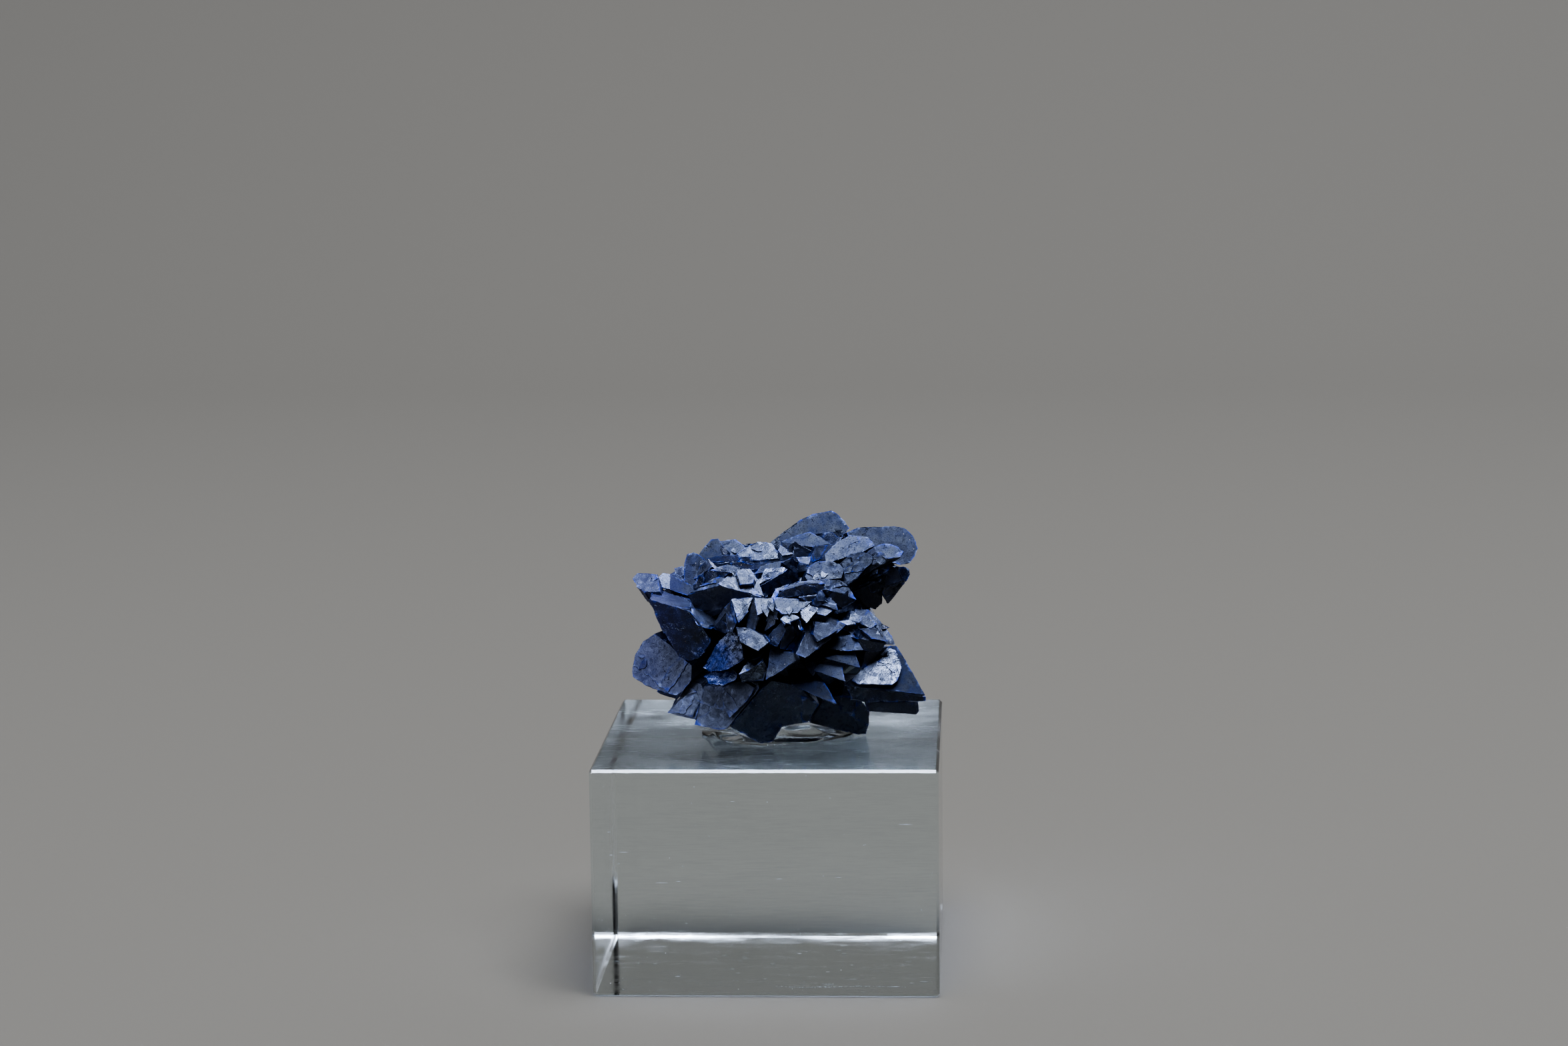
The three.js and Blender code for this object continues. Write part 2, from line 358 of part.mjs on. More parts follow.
// Crystals of the back, the sides, the top and the underside, spaced evenly round the heart.
// They stay within the outline, so the ones above alone shape the front.
const shellCount = 150;
for (let i = 0; i < shellCount; i += 1) {
  const level = 1 - (2 * i + 1) / shellCount;
  const swing = i * 2.399963 + 0.4;
  const ring = Math.sqrt(1 - level * level);
  const out = new THREE.Vector3(ring * Math.cos(swing), ring * Math.sin(swing), level);
  if (out.y < 0.02 + 0.5 * Math.abs(level)) continue;
  const size = 2.5 + 2.3 * scatter(i, 2);
  const lift = new THREE.Vector3(scatter(i, 4) - 0.5, scatter(i, 5) - 0.5, 0.2 + scatter(i, 6));
  const normal = out.clone().multiplyScalar(0.8).addScaledVector(lift, 1.1).normalize();
  const across = new THREE.Vector3(0, 0, 1).cross(normal).normalize();
  const along = normal.clone().cross(across);
  const spin = (scatter(i, 7) - 0.5) * 1.4;
  const corners = 5 + Math.floor(scatter(i, 8) * 3);
  let reach = 0.94 + 0.14 * scatter(i, 1);
  let face = [];
  let fits = false;
  while (!fits && reach > 0.6) {
    const middle = heart.clone().add(out.clone().multiply(shellRadii).multiplyScalar(reach));
    face = [];
    for (let k = 0; k < corners; k += 1) {
      const angle = spin + (k + 0.35 * scatter(i, 10 + k)) * 2 * Math.PI / corners;
      const wide = size * (0.8 + 0.4 * scatter(i, 20 + k)) * Math.cos(angle);
      const high = size * 0.62 * (0.8 + 0.4 * scatter(i, 30 + k)) * Math.sin(angle);
      face.push(middle.clone().addScaledVector(across, wide).addScaledVector(along, high));
    }
    const lowest = Math.min(...face.map((corner) => corner.z));
    fits = lowest > blockHeight + 1.2 && face.every(insideOutline);
    reach -= 0.04;
  }
  if (fits) buildCrystal(face, 6, 0.5);
}

const clusterSolid = grown.reduce((whole, part) => whole.add(part));

// Clear gel: a low blob on the block under the cluster, hollowed where crystals sink into it
const gelFoot = [[-8.4, 0.2], [-7.6, -2.0], [-5.6, -5.0], [-1.5, -6.6], [2.4, -5.8], [6.4, -4.6],
  [8.0, -2.4], [8.8, 0.0], [7.4, 3.4], [3.0, 5.2], [-3.0, 5.0], [-7.0, 3.2]];
const gelLevels = [[0, 1], [0.35, 0.95], [0.8, 0.84], [1.2, 0.66]];
const gelPoints = gelLevels.flatMap(([height, spread]) => gelFoot.map(([x, y]) => (
  new THREE.Vector3(x * spread, y * spread, blockHeight + height)
)));
const pressed = [[0, 0, 0], [-1, 0, 0], [1, 0, 0], [0, -1, 0], [0, 1, 0], [0, 0, -1]];
let gelSolid = solidOf(new ConvexGeometry(gelPoints));
for (const geometry of lowCrystals) {
  for (const [x, y, z] of pressed) {
    const shifted = geometry.clone().translate(x * restGap, y * restGap, z * restGap);
    gelSolid = gelSolid.subtract(solidOf(shifted));
  }
}

// Clear block with every edge bevelled
const blockPoints = [];
for (const [bx, by, bz] of [[0, 1, 1], [1, 0, 1], [1, 1, 0]]) {
  for (const sx of [-1, 1]) {
    for (const sy of [-1, 1]) {
      for (const sz of [-1, 1]) {
        blockPoints.push(new THREE.Vector3(
          sx * (blockWidth / 2 - bx * blockBevel),
          sy * (blockDepth / 2 - by * blockBevel),
          blockHeight / 2 + sz * (blockHeight / 2 - bz * blockBevel),
        ));
      }
    }
  }
}

// The outer skin of a solid: its largest connected set of triangles
function outerSkin(solid) {
  const { vertProperties, triVerts } = solid.getMesh();
  const link = [...Array(vertProperties.length / 3).keys()];
  const rootOf = (vertex) => {
    let at = vertex;
    while (link[at] !== at) at = link[at];
    return at;
  };
  for (let t = 0; t < triVerts.length; t += 3) {
    const first = rootOf(triVerts[t]);
    link[rootOf(triVerts[t + 1])] = first;
    link[rootOf(triVerts[t + 2])] = first;
  }
  const volumes = new Map();
  const corner = (index) => new THREE.Vector3().fromArray(vertProperties, index * 3);
  for (let t = 0; t < triVerts.length; t += 3) {
    const [a, b, c] = [0, 1, 2].map((k) => corner(triVerts[t + k]));
    const group = rootOf(triVerts[t]);
    volumes.set(group, (volumes.get(group) ?? 0) + a.dot(b.cross(c)) / 6);
  }
  const [largest] = [...volumes].reduce((best, entry) => (entry[1] > best[1] ? entry : best));
  const index = [];
  for (let t = 0; t < triVerts.length; t += 3) {
    if (rootOf(triVerts[t]) === largest) index.push(...triVerts.slice(t, t + 3));
  }
  const geometry = new THREE.BufferGeometry();
  geometry.setAttribute('position', new THREE.BufferAttribute(new Float32Array(vertProperties), 3));
  geometry.setIndex(index);
  return geometry;
}

function pieceOf(name, geometry, material) {
  const mesh = new THREE.Mesh(geometry, material);
  mesh.name = name;
  return mesh;
}

const specimen = new THREE.Group();
specimen.add(pieceOf('azurite_cluster', outerSkin(clusterSolid), azurite));
specimen.add(pieceOf('museum_gel', outerSkin(gelSolid), gelClear));
specimen.add(pieceOf('acrylic_block', new ConvexGeometry(blockPoints), acrylic));

export default specimen;
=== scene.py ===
import math
import random

import bmesh
import bpy
import numpy as np
from mathutils import Matrix, Quaternion, Vector
from mathutils.bvhtree import BVHTree


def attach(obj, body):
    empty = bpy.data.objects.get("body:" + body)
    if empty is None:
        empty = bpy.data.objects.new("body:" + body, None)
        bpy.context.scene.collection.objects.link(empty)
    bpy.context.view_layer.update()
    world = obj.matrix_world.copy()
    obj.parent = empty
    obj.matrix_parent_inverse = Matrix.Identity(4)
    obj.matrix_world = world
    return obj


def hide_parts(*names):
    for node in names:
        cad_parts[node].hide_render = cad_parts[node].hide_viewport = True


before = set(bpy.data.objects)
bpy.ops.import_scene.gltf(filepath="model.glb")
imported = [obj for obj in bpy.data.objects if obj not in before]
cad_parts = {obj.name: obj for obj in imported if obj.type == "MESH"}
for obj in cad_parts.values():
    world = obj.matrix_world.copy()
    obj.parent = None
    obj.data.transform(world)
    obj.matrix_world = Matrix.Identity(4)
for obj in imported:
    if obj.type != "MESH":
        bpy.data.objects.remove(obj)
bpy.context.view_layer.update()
print("frame loaded:", ", ".join(sorted(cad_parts)))

mm = 0.001                     # everything below is thought of in millimetres
random.seed(11)


def linear(hexCode):
    # an sRGB hex colour as the linear numbers that shader sockets take
    parts = [int(hexCode[i:i + 2], 16) / 255 for i in (1, 3, 5)]
    return [c / 12.92 if c <= 0.04045 else ((c + 0.055) / 1.055) ** 2.4 for c in parts] + [1.0]


def scaleFor(size):
    # the scale that gives a pattern features of that many mm
    return 1 / (size * mm)


def addNode(tree, kind, inputs=None, output=0, **settings):
    # inputs: socket name or number -> a value, an sRGB hex colour or another node's output;
    # settings: the node's own properties; what comes back is the output asked for
    node = tree.nodes.new("ShaderNode" + kind)
    for name, value in settings.items():
        setattr(node, name, value)
    for name, value in (inputs or {}).items():
        if isinstance(value, bpy.types.NodeSocket):
            tree.links.new(value, node.inputs[name])
        else:
            node.inputs[name].default_value = linear(value) if isinstance(value, str) else value
    return node.outputs[output]


def newMaterial(name):
    # an empty material, the tree that its nodes go in, and the socket that its shader goes to
    material = bpy.data.materials.new(name)
    material.use_nodes = True
    tree = material.node_tree
    tree.nodes.clear()
    return material, tree, tree.nodes.new("ShaderNodeOutputMaterial").inputs["Surface"]


def pickOnly(piece):
    if bpy.context.mode != "OBJECT":
        bpy.ops.object.mode_set(mode="OBJECT")
    bpy.ops.object.select_all(action="DESELECT")
    piece.select_set(True)
    bpy.context.view_layer.objects.active = piece


def editOn(piece, what="FACE"):
    pickOnly(piece)
    bpy.ops.object.mode_set(mode="EDIT")
    bpy.ops.mesh.select_mode(type=what)
    bpy.ops.mesh.select_all(action="DESELECT")


def editOff():
    bpy.ops.object.mode_set(mode="OBJECT")


def pickParts(piece, kind, test):
    # selects the faces or edges of the piece in edit mode that pass the test, and says how many
    mesh = bmesh.from_edit_mesh(piece.data)
    count = 0
    for part in getattr(mesh, kind):
        chosen = bool(test(part))
        part.select_set(chosen)
        count += chosen
    bmesh.update_edit_mesh(piece.data)
    return count


def copyOf(mesh, name):
    # a new object with its own copy of the mesh, without any finish
    mesh = mesh.copy()
    mesh.materials.clear()
    piece = bpy.data.objects.new(name, mesh)
    bpy.context.scene.collection.objects.link(piece)
    return piece


def joinInto(piece, copies):
    pickOnly(piece)
    for copy in copies:
        copy.select_set(True)
    bpy.ops.object.join()


def applyModifier(piece, modifier):
    pickOnly(piece)
    bpy.ops.object.modifier_apply(modifier=modifier.name)


bpy.ops.object.select_all(action="DESELECT")

# azurite: one grown rosette of wedge crystals; its flat facets come from the CAD, and here
# they get growth steps, cracks, pitting and chipped edges
cluster = {
    "heart": (0.5, 0.5, 37.6),     # mm, where the crystals grow out from
    "sameCorner": 0.002,           # mm, corners of the copied mesh this close are one
    "sliver": 0.004,               # mm, thinner triangles are dissolved
    "flatBend": 0.8,               # degrees, triangles that bend less make one facet
    # corners of the break in the lowest crystal, and how far back it goes, mm
    "brokenTip": ((4.1, 26.7), (4.6, 23.0), (0.9, 26.2), (-0.25, 24.3)),
    "brokenDepth": (-12.0, -3.0),
    "shownFront": 3.0, "shownTop": 41.0,     # mm, what lies before or above these is seen most
    "tones": (0.2, 0.75),          # how dull each facet is, from 0 to 1
    "dusts": (-0.3, 0.35),         # how much dust it holds; less than 0 is none
    "cutCount": 92,                # straight cuts that begin growth steps and cracks
    "cutShare": 0.15,              # share of the broad facets that one cut crosses
    "ringEvery": 3,                # every third cut is a ring round the heart
    "rayReach": (-2.5, 2.5), "ringReach": (5.0, 14.0),       # mm from the heart
    "cutSlack": 0.0005,            # mm, a corner this near a cut is on it
    "broadFacet": 1.2,             # mm2, smaller cells aren't cut any more
    "stepFacet": 0.3,              # mm2, smaller cells get no step
    "stepSide": 0.1,               # mm, cells with a shorter side get no step
    "stepHeights": (-0.06, 0.03, 0.06, 0.09, 0.13),     # mm
    "furthest": 0.16,              # mm, how far any corner may leave the facets
    "plainShare": 0.5,             # share of the cells that stay level
    "crackWidth": 0.018,           # mm, how far a step's side leans in
    "cutBend": 1.0,                # degrees, edges that bend less are cuts across flat ground
    "jagLength": 0.42,             # mm, between the corners of a ragged cut
    "jagSwing": 0.15,              # mm, how far those corners stray sideways
    "jagStray": 0.3,               # and along the cut, as a share of jagLength
    "ridgeBend": 9,                # degrees, edges that bend more are crests or valleys
    "crestEdge": 0.36,             # mm, longest mesh edge along the crests between facets
    "flatEdge": 0.95,              # mm, the same on flat ground
    "roughEdge": 0.3,              # mm, the same on rough broken ground
    "hiddenEdge": 1.1,             # mm, the same low down at the back
    "rounds": 16, "fewEnough": 40,           # splitting stops at so few long edges
    "thinBend": 25, "thinnestBend": 1.6,     # degrees and radians, crests that let light through
    "toothThin": 0.4,              # how much less of it the small crystals let through
    # relief as size and full height, mm
    "brokenRelief": (0.8, 0.5),    # of the broken patches
    "wander": (0.55, 0.168),       # of straight edges, which wander
    "pitting": (0.3, 0.1),         # of the pits and grains
    # the striae of the broken patches run up to the right: degrees, and how they are drawn out
    "striaeTurn": -52, "striaeStretch": (4.5, 1, 0.7),
}
# the small wedge crystals that sit on the big ones
teeth = {
    "viewpoint": (23.6, -398, 111.7),      # mm, from where the front ones are placed
    # boxes at y = 0 as (left, low, right, high, count), mm
    "front": ((-1, 37, 6, 40.5, 9), (5.5, 36.5, 13.5, 41.5, 12), (-8, 33, -3, 37, 3),
              (2, 31, 9, 36, 4), (4.5, 41, 8, 44, 4), (-9, 43.5, 3, 47, 7)),
    "behind": 60, "behindFrom": 60, "behindAim": 3,     # how many, mm out, and mm off the heart
    "sizes": (0.35, 0.85),                 # mm
    "long": (0.8, 1.3), "wide": (0.6, 1.1), "thick": (0.35, 0.7),      # times the size
    "lean": 0.25, "turn": 0.5,             # how far they stray from the facet and from outwards
    "tones": (0.1, 0.8),
    # the slab that one is cut from, then where each cut passes and which way it takes off
    "slab": (2, 1.5, 0.7),
    "cuts": (((1, 0, 0), (0.75, 1, 0)), ((1, 0, 0), (0.7, -1, 0)), ((-0.9, 0, 0), (-1, 0.8, 0)),
             ((0.9, 0, 0.02), (0.3, 0.15, 1)), ((0, 0.5, 0.25), (-0.1, 0.6, 1)),
             ((0.9, 0, -0.1), (0.25, 0, -1))),
}
# mm, the broken patches: middle, half sizes, and how rough
roughPatches = (
    ((-5.9, -9.0, 34.9), (2.3, 4.0, 3.0), 1.0),      # striated fresh break left of the front ridge
    ((-3.0, -10.0, 37.2), (2.2, 3.5, 2.2), 0.5),     # frosted lump beside it
    ((9.6, -2.0, 44.6), (2.4, 4.5, 2.4), 0.5),       # lumpy crystal in the top right group
)
# facets that differ from their neighbours: middle and reach in mm, then how dull the etching has left
# them (0 fresh and bright, 1 dull) and how much pale dust they hold; that pale grey is partly painted
# light, put on facets that the lamps leave too dark, some of them in shadow
finishPlaces = (
    ((13.0, -5.7, 33.8), 1.5, 0.0, 0.35), ((12.6, -4.9, 34.0), 0.4, 1.55, 0.0),
    ((4.9, 4.8, 48.8), 1.2, 1.2, 0.0), ((13.4, 2.9, 46.2), 1.2, 1.2, 0.15),
    ((4.1, 2.2, 47.3), 0.8, 1.1, 0.0), ((8.7, -1.1, 46.9), 0.8, 0.95, 0.2),
    ((7.1, -8.7, 34.2), 2.2, 1.1, 0.0), ((-9.3, -0.7, 43.0), 1.1, 1.1, 0.0),
    ((-5.5, 1.7, 46.0), 1.9, 0.95, 0.0), ((9.1, -7.8, 37.4), 0.8, 1.1, 0.0),
    ((5.8, -8.5, 42.5), 0.7, 1.2, 0.0), ((5.6, 0.2, 46.2), 0.7, 1.0, 0.0),
    ((-7.5, -8.6, 40.2), 0.7, 0.95, 0.0), ((1.2, -10.1, 42.0), 1.3, 0.6, 0.1),
    ((-12.1, -1.6, 43.3), 0.7, 0.6, 0.3), ((-8.6, -8.7, 38.8), 0.8, -0.1, 0.0),
    ((-4.4, -9.8, 37.0), 0.8, 0.0, 0.0), ((-12.4, -4.7, 33.8), 1.5, 0.4, 0.35),
    ((-3.8, -7.9, 31.3), 1.2, 0.5, 0.95), ((-8.6, -6.8, 30.1), 1.6, 0.5, 1.0),
    ((6.0, -9.6, 38.9), 0.8, 0.4, 1.0), ((11.1, -6.2, 38.5), 1.2, 0.4, 1.0),
    ((-7.6, -5.0, 34.4), 0.6, 0.6, 1.0), ((11.3, -5.6, 34.3), 0.6, 0.4, 0.7),
    ((0.5, -6.2, 44.9), 0.7, 0.0, 0.5), ((-14.1, -2.5, 43.3), 0.8, 0.4, 0.6),
    ((5.7, -9.3, 40.2), 0.5, 0.4, 1.0), ((1.1, -10.3, 38.9), 0.5, 0.9, 0.0),
    ((-6.2, -5.7, 44.2), 0.5, 0.0, 0.0), ((-1.3, -9.9, 34.7), 0.5, -0.2, 0.0),
    ((5.5, -9.0, 32.3), 0.5, 1.6, 0.0), ((13.1, -2.4, 46.7), 0.5, 1.0, 0.1),
    ((0.9, -7.0, 29.3), 0.8, -0.3, 0.0), ((8.6, -1.8, 27.5), 0.6, -0.3, 0.0),
    ((13.0, -6.0, 31.1), 0.5, -0.3, 0.0), ((8.8, -8.4, 35.6), 0.4, 1.3, 0.0),
    ((-7.1, 2.0, 46.2), 0.4, 1.3, 0.0), ((7.8, -6.7, 43.2), 0.5, 1.1, 0.0),
    ((-2.9, -2.0, 45.0), 0.6, -0.1, 0.0), ((-4.4, 0.3, 45.5), 0.6, -0.1, 0.0),
    ((9.8, -3.6, 45.4), 0.5, 1.1, 0.0), ((2.0, -10.1, 35.8), 0.5, 0.9, 0.0),
    ((-9.5, -1.1, 42.4), 0.5, 1.4, 0.0), ((0.2, -3.3, 45.2), 0.4, 1.1, 0.0),
    ((2.2, -10.0, 42.0), 0.4, 0.8, 0.0), ((6.2, -4.3, 44.9), 0.5, 0.9, 0.1),
)


def hashed(*numbers):
    # a repeatable value from 0 to 1; the factors only have to be large and uneven
    total = math.sin(sum(n * (12.9898 + 61.7 * i) for i, n in enumerate(numbers))) * 43758.5453
    return total - math.floor(total)


def roughness(places, patches=roughPatches):
    # 1 in the middle of a broken patch, 0 outside all of them, for an array of places
    most = np.zeros(len(places))
    for middle, half, strength in patches:
        away = np.linalg.norm((places / mm - middle) / half, axis=1)
        most = np.maximum(most, strength * np.clip(2.0 - 1.6 * away, 0, 1))
    return most


def placesOf(piece):
    places = np.empty(len(piece.data.vertices) * 3)
    piece.data.vertices.foreach_get("co", places)
    return places.reshape(-1, 3)


def giveAttribute(piece, name, values, domain="POINT"):
    layer = piece.data.attributes.new(name, "FLOAT", domain)
    layer.data.foreach_set("value", values)


def mergeCopy(piece):
    # the copied mesh is loose triangles: join them, then make each flat facet one face
    editOn(piece, "VERT")
    bpy.ops.mesh.select_all(action="SELECT")
    bpy.ops.mesh.remove_doubles(threshold=cluster["sameCorner"] * mm)
    bpy.ops.mesh.dissolve_degenerate(threshold=cluster["sliver"] * mm)
    bpy.ops.mesh.select_all(action="SELECT")
    bpy.ops.mesh.dissolve_limited(angle_limit=math.radians(cluster["flatBend"]))
    editOff()


def breakTip(piece):
    # the lowest crystal lost a corner, which leaves room for the gel to show; the cutter's
    # corners are (left, height) at y = 0, seen from the front
    bpy.ops.object.select_all(action="DESELECT")
    bpy.ops.mesh.primitive_cube_add(size=1)
    cutter = bpy.context.object
    eye = Vector(teeth["viewpoint"])
    for vertex in cutter.data.vertices:
        back, left, low = vertex.co.y > 0, vertex.co.x < 0, vertex.co.z < 0
        x, z = cluster["brokenTip"][2 * left + low]
        depth = cluster["brokenDepth"][back]
        vertex.co = (eye + (Vector((x, 0, z)) - eye) * (depth - eye.y) / -eye.y) * mm
    cut = piece.modifiers.new("cut", "BOOLEAN")
    cut.object, cut.operation, cut.solver = cutter, "DIFFERENCE", "EXACT"
    applyModifier(piece, cut)
    bpy.data.objects.remove(cutter)


def onShow(point):
    # the front and the top, which are seen most
    return point.y < cluster["shownFront"] * mm or point.z > cluster["shownTop"] * mm


def markFacets(piece):
    # each flat facet keeps its number, and a dullness and a dust of its own; the dust is partly painted
    # light that brightens facets the lamps leave too dark
    mesh = bmesh.new()
    mesh.from_mesh(piece.data)
    number = mesh.faces.layers.int.new("facetNumber")
    tone = mesh.faces.layers.float.new("facetTone")
    dust = mesh.faces.layers.float.new("facetDustAndLight")
    for index, face in enumerate(mesh.faces):
        face[number] = index
        face[tone] = random.uniform(*cluster["tones"])
        face[dust] = max(0.0, random.uniform(*cluster["dusts"]))
        middle = face.calc_center_median() / mm
        for place, reach, dull, pale in finishPlaces:
            if (middle - Vector(place)).length < reach:
                face[tone], face[dust] = dull, pale
    mesh.to_mesh(piece.data)
    mesh.free()


def cutCells(piece):
    # straight cuts across a few facets at a time: rays from the heart, and rings round it
    editOn(piece)
    heart = Vector(cluster["heart"]) * mm
    broad = cluster["broadFacet"] * mm * mm
    for cut in range(cluster["cutCount"]):
        lean = Vector([random.uniform(-1, 1) for _ in range(3)]).normalized()
        away = random.uniform(*cluster["rayReach" if cut % cluster["ringEvery"] else "ringReach"])
        number = bmesh.from_edit_mesh(piece.data).faces.layers.int["facetNumber"]

        def crossed(face):
            if hashed(face[number], cut) > cluster["cutShare"]:
                return False
            return face.calc_area() > broad and onShow(face.calc_center_median())

        if pickParts(piece, "faces", crossed):
            bpy.ops.mesh.bisect(plane_co=heart + lean * away * mm, plane_no=lean,
                                threshold=cluster["cutSlack"] * mm)
    editOff()


def chooseSteps(piece):
    # some cells are set to rise or sink by one of the growth steps
    mesh = bmesh.new()
    mesh.from_mesh(piece.data)
    smallest = cluster["stepFacet"] * mm * mm
    group = mesh.faces.layers.int.new("stepGroup")
    for face in mesh.faces:
        face[group] = -1
        thin = min(edge.calc_length() for edge in face.edges) < cluster["stepSide"] * mm
        if face.calc_area() > smallest and not thin and onShow(face.calc_center_median()):
            if random.random() > cluster["plainShare"]:
                face[group] = random.randrange(len(cluster["stepHeights"]))
    mesh.to_mesh(piece.data)
    mesh.free()


def jagCuts(piece):
    # the straight cuts across flat facets become ragged: new corners, moved within the facet
    mesh = bmesh.new()
    mesh.from_mesh(piece.data)
    apart, swing = cluster["jagLength"] * mm, cluster["jagSwing"] * mm
    stray = cluster["jagStray"]
    for edge in list(mesh.edges):
        if len(edge.link_faces) != 2 or edge.calc_face_angle() > math.radians(cluster["cutBend"]):
            continue
        start, end = edge.verts
        along = end.co - start.co
        cuts = int(along.length / apart)
        sideways = along.normalized().cross(edge.link_faces[0].normal)
        for left in range(cuts, 0, -1):
            near = edge.other_vert(end)
            edge, corner = bmesh.utils.edge_split(edge, near, 1 / (left + 1))
            edge = next(e for e in corner.link_edges if e.other_vert(corner) != near)
            corner.co += sideways * random.uniform(-swing, swing)
            corner.co += along.normalized() * random.uniform(-stray, stray) * apart
    mesh.to_mesh(piece.data)
    mesh.free()


def raiseCells(piece):
    # the chosen cells rise or sink, with steep ragged sides
    editOn(piece)
    for index, height in enumerate(cluster["stepHeights"]):
        layer = bmesh.from_edit_mesh(piece.data).faces.layers.int["stepGroup"]
        if pickParts(piece, "faces", lambda face: face[layer] == index):
            bpy.ops.mesh.inset(thickness=cluster["crackWidth"] * mm, depth=height * mm,
                               use_individual=True, use_boundary=True)
    editOff()


def pullBack(piece, stoneTree):
    # a narrow cell can throw a corner far out when it is inset: such corners come back
    count = 0
    for vertex in piece.data.vertices:
        nearest, _, _, away = stoneTree.find_nearest(vertex.co)
        if away > cluster["furthest"] * mm:
            vertex.co = nearest
            count += 1
    print("corners pulled back:", count)


def makeTooth():
    # one small wedge crystal: a slab cut to a point that thins towards its tip
    bpy.ops.object.select_all(action="DESELECT")
    bpy.ops.mesh.primitive_cube_add(size=1, scale=teeth["slab"])
    tooth = bpy.context.object
    bpy.ops.object.transform_apply(location=False, rotation=False, scale=True)
    editOn(tooth)
    for place, away in teeth["cuts"]:
        bpy.ops.mesh.select_all(action="SELECT")
        bpy.ops.mesh.bisect(plane_co=place, plane_no=away, use_fill=True, clear_outer=True)
    editOff()
    return tooth


def addTeeth(piece):
    # small wedge crystals that sit half sunk on the big ones, tips outwards
    tree = BVHTree.FromObject(piece, bpy.context.evaluated_depsgraph_get())
    heart = Vector(cluster["heart"]) * mm
    starts = []
    viewpoint = Vector(teeth["viewpoint"]) * mm
    for left, low, right, high, count in teeth["front"]:
        for _ in range(count):
            target = Vector((random.uniform(left, right), 0, random.uniform(low, high))) * mm
            starts.append((viewpoint, target - viewpoint))
    for _ in range(teeth["behind"]):
        # more of them at the back and the top than in front and below
        side = Vector((random.uniform(-1, 1), random.uniform(-0.2, 1), random.uniform(-0.4, 1)))
        start = heart + side.normalized() * teeth["behindFrom"] * mm
        starts.append((start, heart - start + teeth["behindAim"] * mm * side))
    pattern = makeTooth()
    copies = []
    for start, way in starts:
        place, normal, _, _ = tree.ray_cast(start, way.normalized())
        if place is None or normal.dot(way) > 0:
            continue
        stray = Vector([random.uniform(-1, 1) for _ in range(3)])
        upright = (normal + teeth["lean"] * stray).normalized()
        outward = (place - heart).normalized()
        tip = outward - upright * outward.dot(upright)
        if tip.length < 0.2:                   # the facet faces straight out: any way will do
            tip = upright.orthogonal()
        tip = Quaternion(upright, random.uniform(-teeth["turn"], teeth["turn"])) @ tip.normalized()
        size = random.uniform(*teeth["sizes"]) * mm
        turn = Matrix((tip, upright.cross(tip), upright)).transposed().to_4x4()
        sides = [size * random.uniform(*teeth[side]) for side in ("long", "wide", "thick")]
        tooth = copyOf(pattern.data, "tooth")
        tooth.data.transform(Matrix.Translation(place) @ turn @ Matrix.Diagonal((*sides, 1)))
        giveAttribute(tooth, "small", [1.0] * len(tooth.data.vertices))
        giveAttribute(tooth, "facetTone",
                      [random.uniform(*teeth["tones"]) for _ in tooth.data.polygons], "FACE")
        copies.append(tooth)
    bpy.data.objects.remove(pattern)
    joinInto(piece, copies)
    print("small wedge crystals:", len(copies))


def longEdges(piece):
    # the crests that are too long, and the longest edge of every triangle that is too big
    data = piece.data
    places = placesOf(piece)
    ends = np.empty(len(data.edges) * 2, int)
    data.edges.foreach_get("vertices", ends)
    ends = ends.reshape(-1, 2)
    crests = np.zeros(len(data.edges), bool)
    data.attributes["sharp_edge"].data.foreach_get("value", crests)
    sides = np.empty(len(data.loops), int)
    data.loops.foreach_get("edge_index", sides)
    sides = sides.reshape(-1, 3)
    start = places[ends[:, 0]]
    length = np.linalg.norm(start - places[ends[:, 1]], axis=1)
    shown = (start[:, 1] < cluster["shownFront"] * mm) | (start[:, 2] > cluster["shownTop"] * mm)
    crest, flat, hidden, rough = (cluster[k] * mm for k in
                                  ("crestEdge", "flatEdge", "hiddenEdge", "roughEdge"))
    ground = np.where(roughness(start) > 0.05, rough, flat)
    tooLong = crests & (length > np.where(shown, crest, hidden))
    longest = sides[np.arange(len(sides)), length[sides].argmax(axis=1)]
    limit = np.where(shown, ground, hidden)
    tooLong[longest[length[longest] > limit[longest]]] = True
    return tooLong


def makeTriangles():
    bpy.ops.mesh.select_all(action="SELECT")
    bpy.ops.mesh.quads_convert_to_tris(quad_method="BEAUTY", ngon_method="BEAUTY")


def refine(piece):
    # splits crests finely, flat ground coarsely and broken ground finely
    editOn(piece, "EDGE")
    bpy.ops.mesh.edges_select_sharp(sharpness=math.radians(cluster["ridgeBend"]))
    bpy.ops.mesh.mark_sharp()
    makeTriangles()
    for _ in range(cluster["rounds"]):
        bpy.ops.mesh.select_all(action="DESELECT")
        editOff()
        chosen = longEdges(piece)
        if chosen.sum() < cluster["fewEnough"]:
            break
        piece.data.edges.foreach_set("select", chosen)
        bpy.ops.object.mode_set(mode="EDIT")
        bpy.ops.mesh.subdivide(number_cuts=1)
        makeTriangles()
    editOff()


def giveGroup(piece, name, values):
    group = piece.vertex_groups.new(name=name)
    for index in np.flatnonzero(values > 0.01):
        group.add([int(index)], float(values[index]), "REPLACE")


def displace(piece, kind, relief, direction="NORMAL", group="", along=None, **settings):
    # one applied Displace modifier; relief is the texture's size and its full height, mm
    texture = bpy.data.textures.new("relief", kind)
    texture.noise_scale = relief[0] * mm
    for name, value in settings.items():
        setattr(texture, name, value)
    push = piece.modifiers.new("relief", "DISPLACE")
    push.texture, push.texture_coords = texture, "OBJECT" if along else "LOCAL"
    push.texture_coords_object = along
    push.direction, push.strength, push.mid_level = direction, relief[1] * mm, 0.5
    push.vertex_group = group
    applyModifier(piece, push)


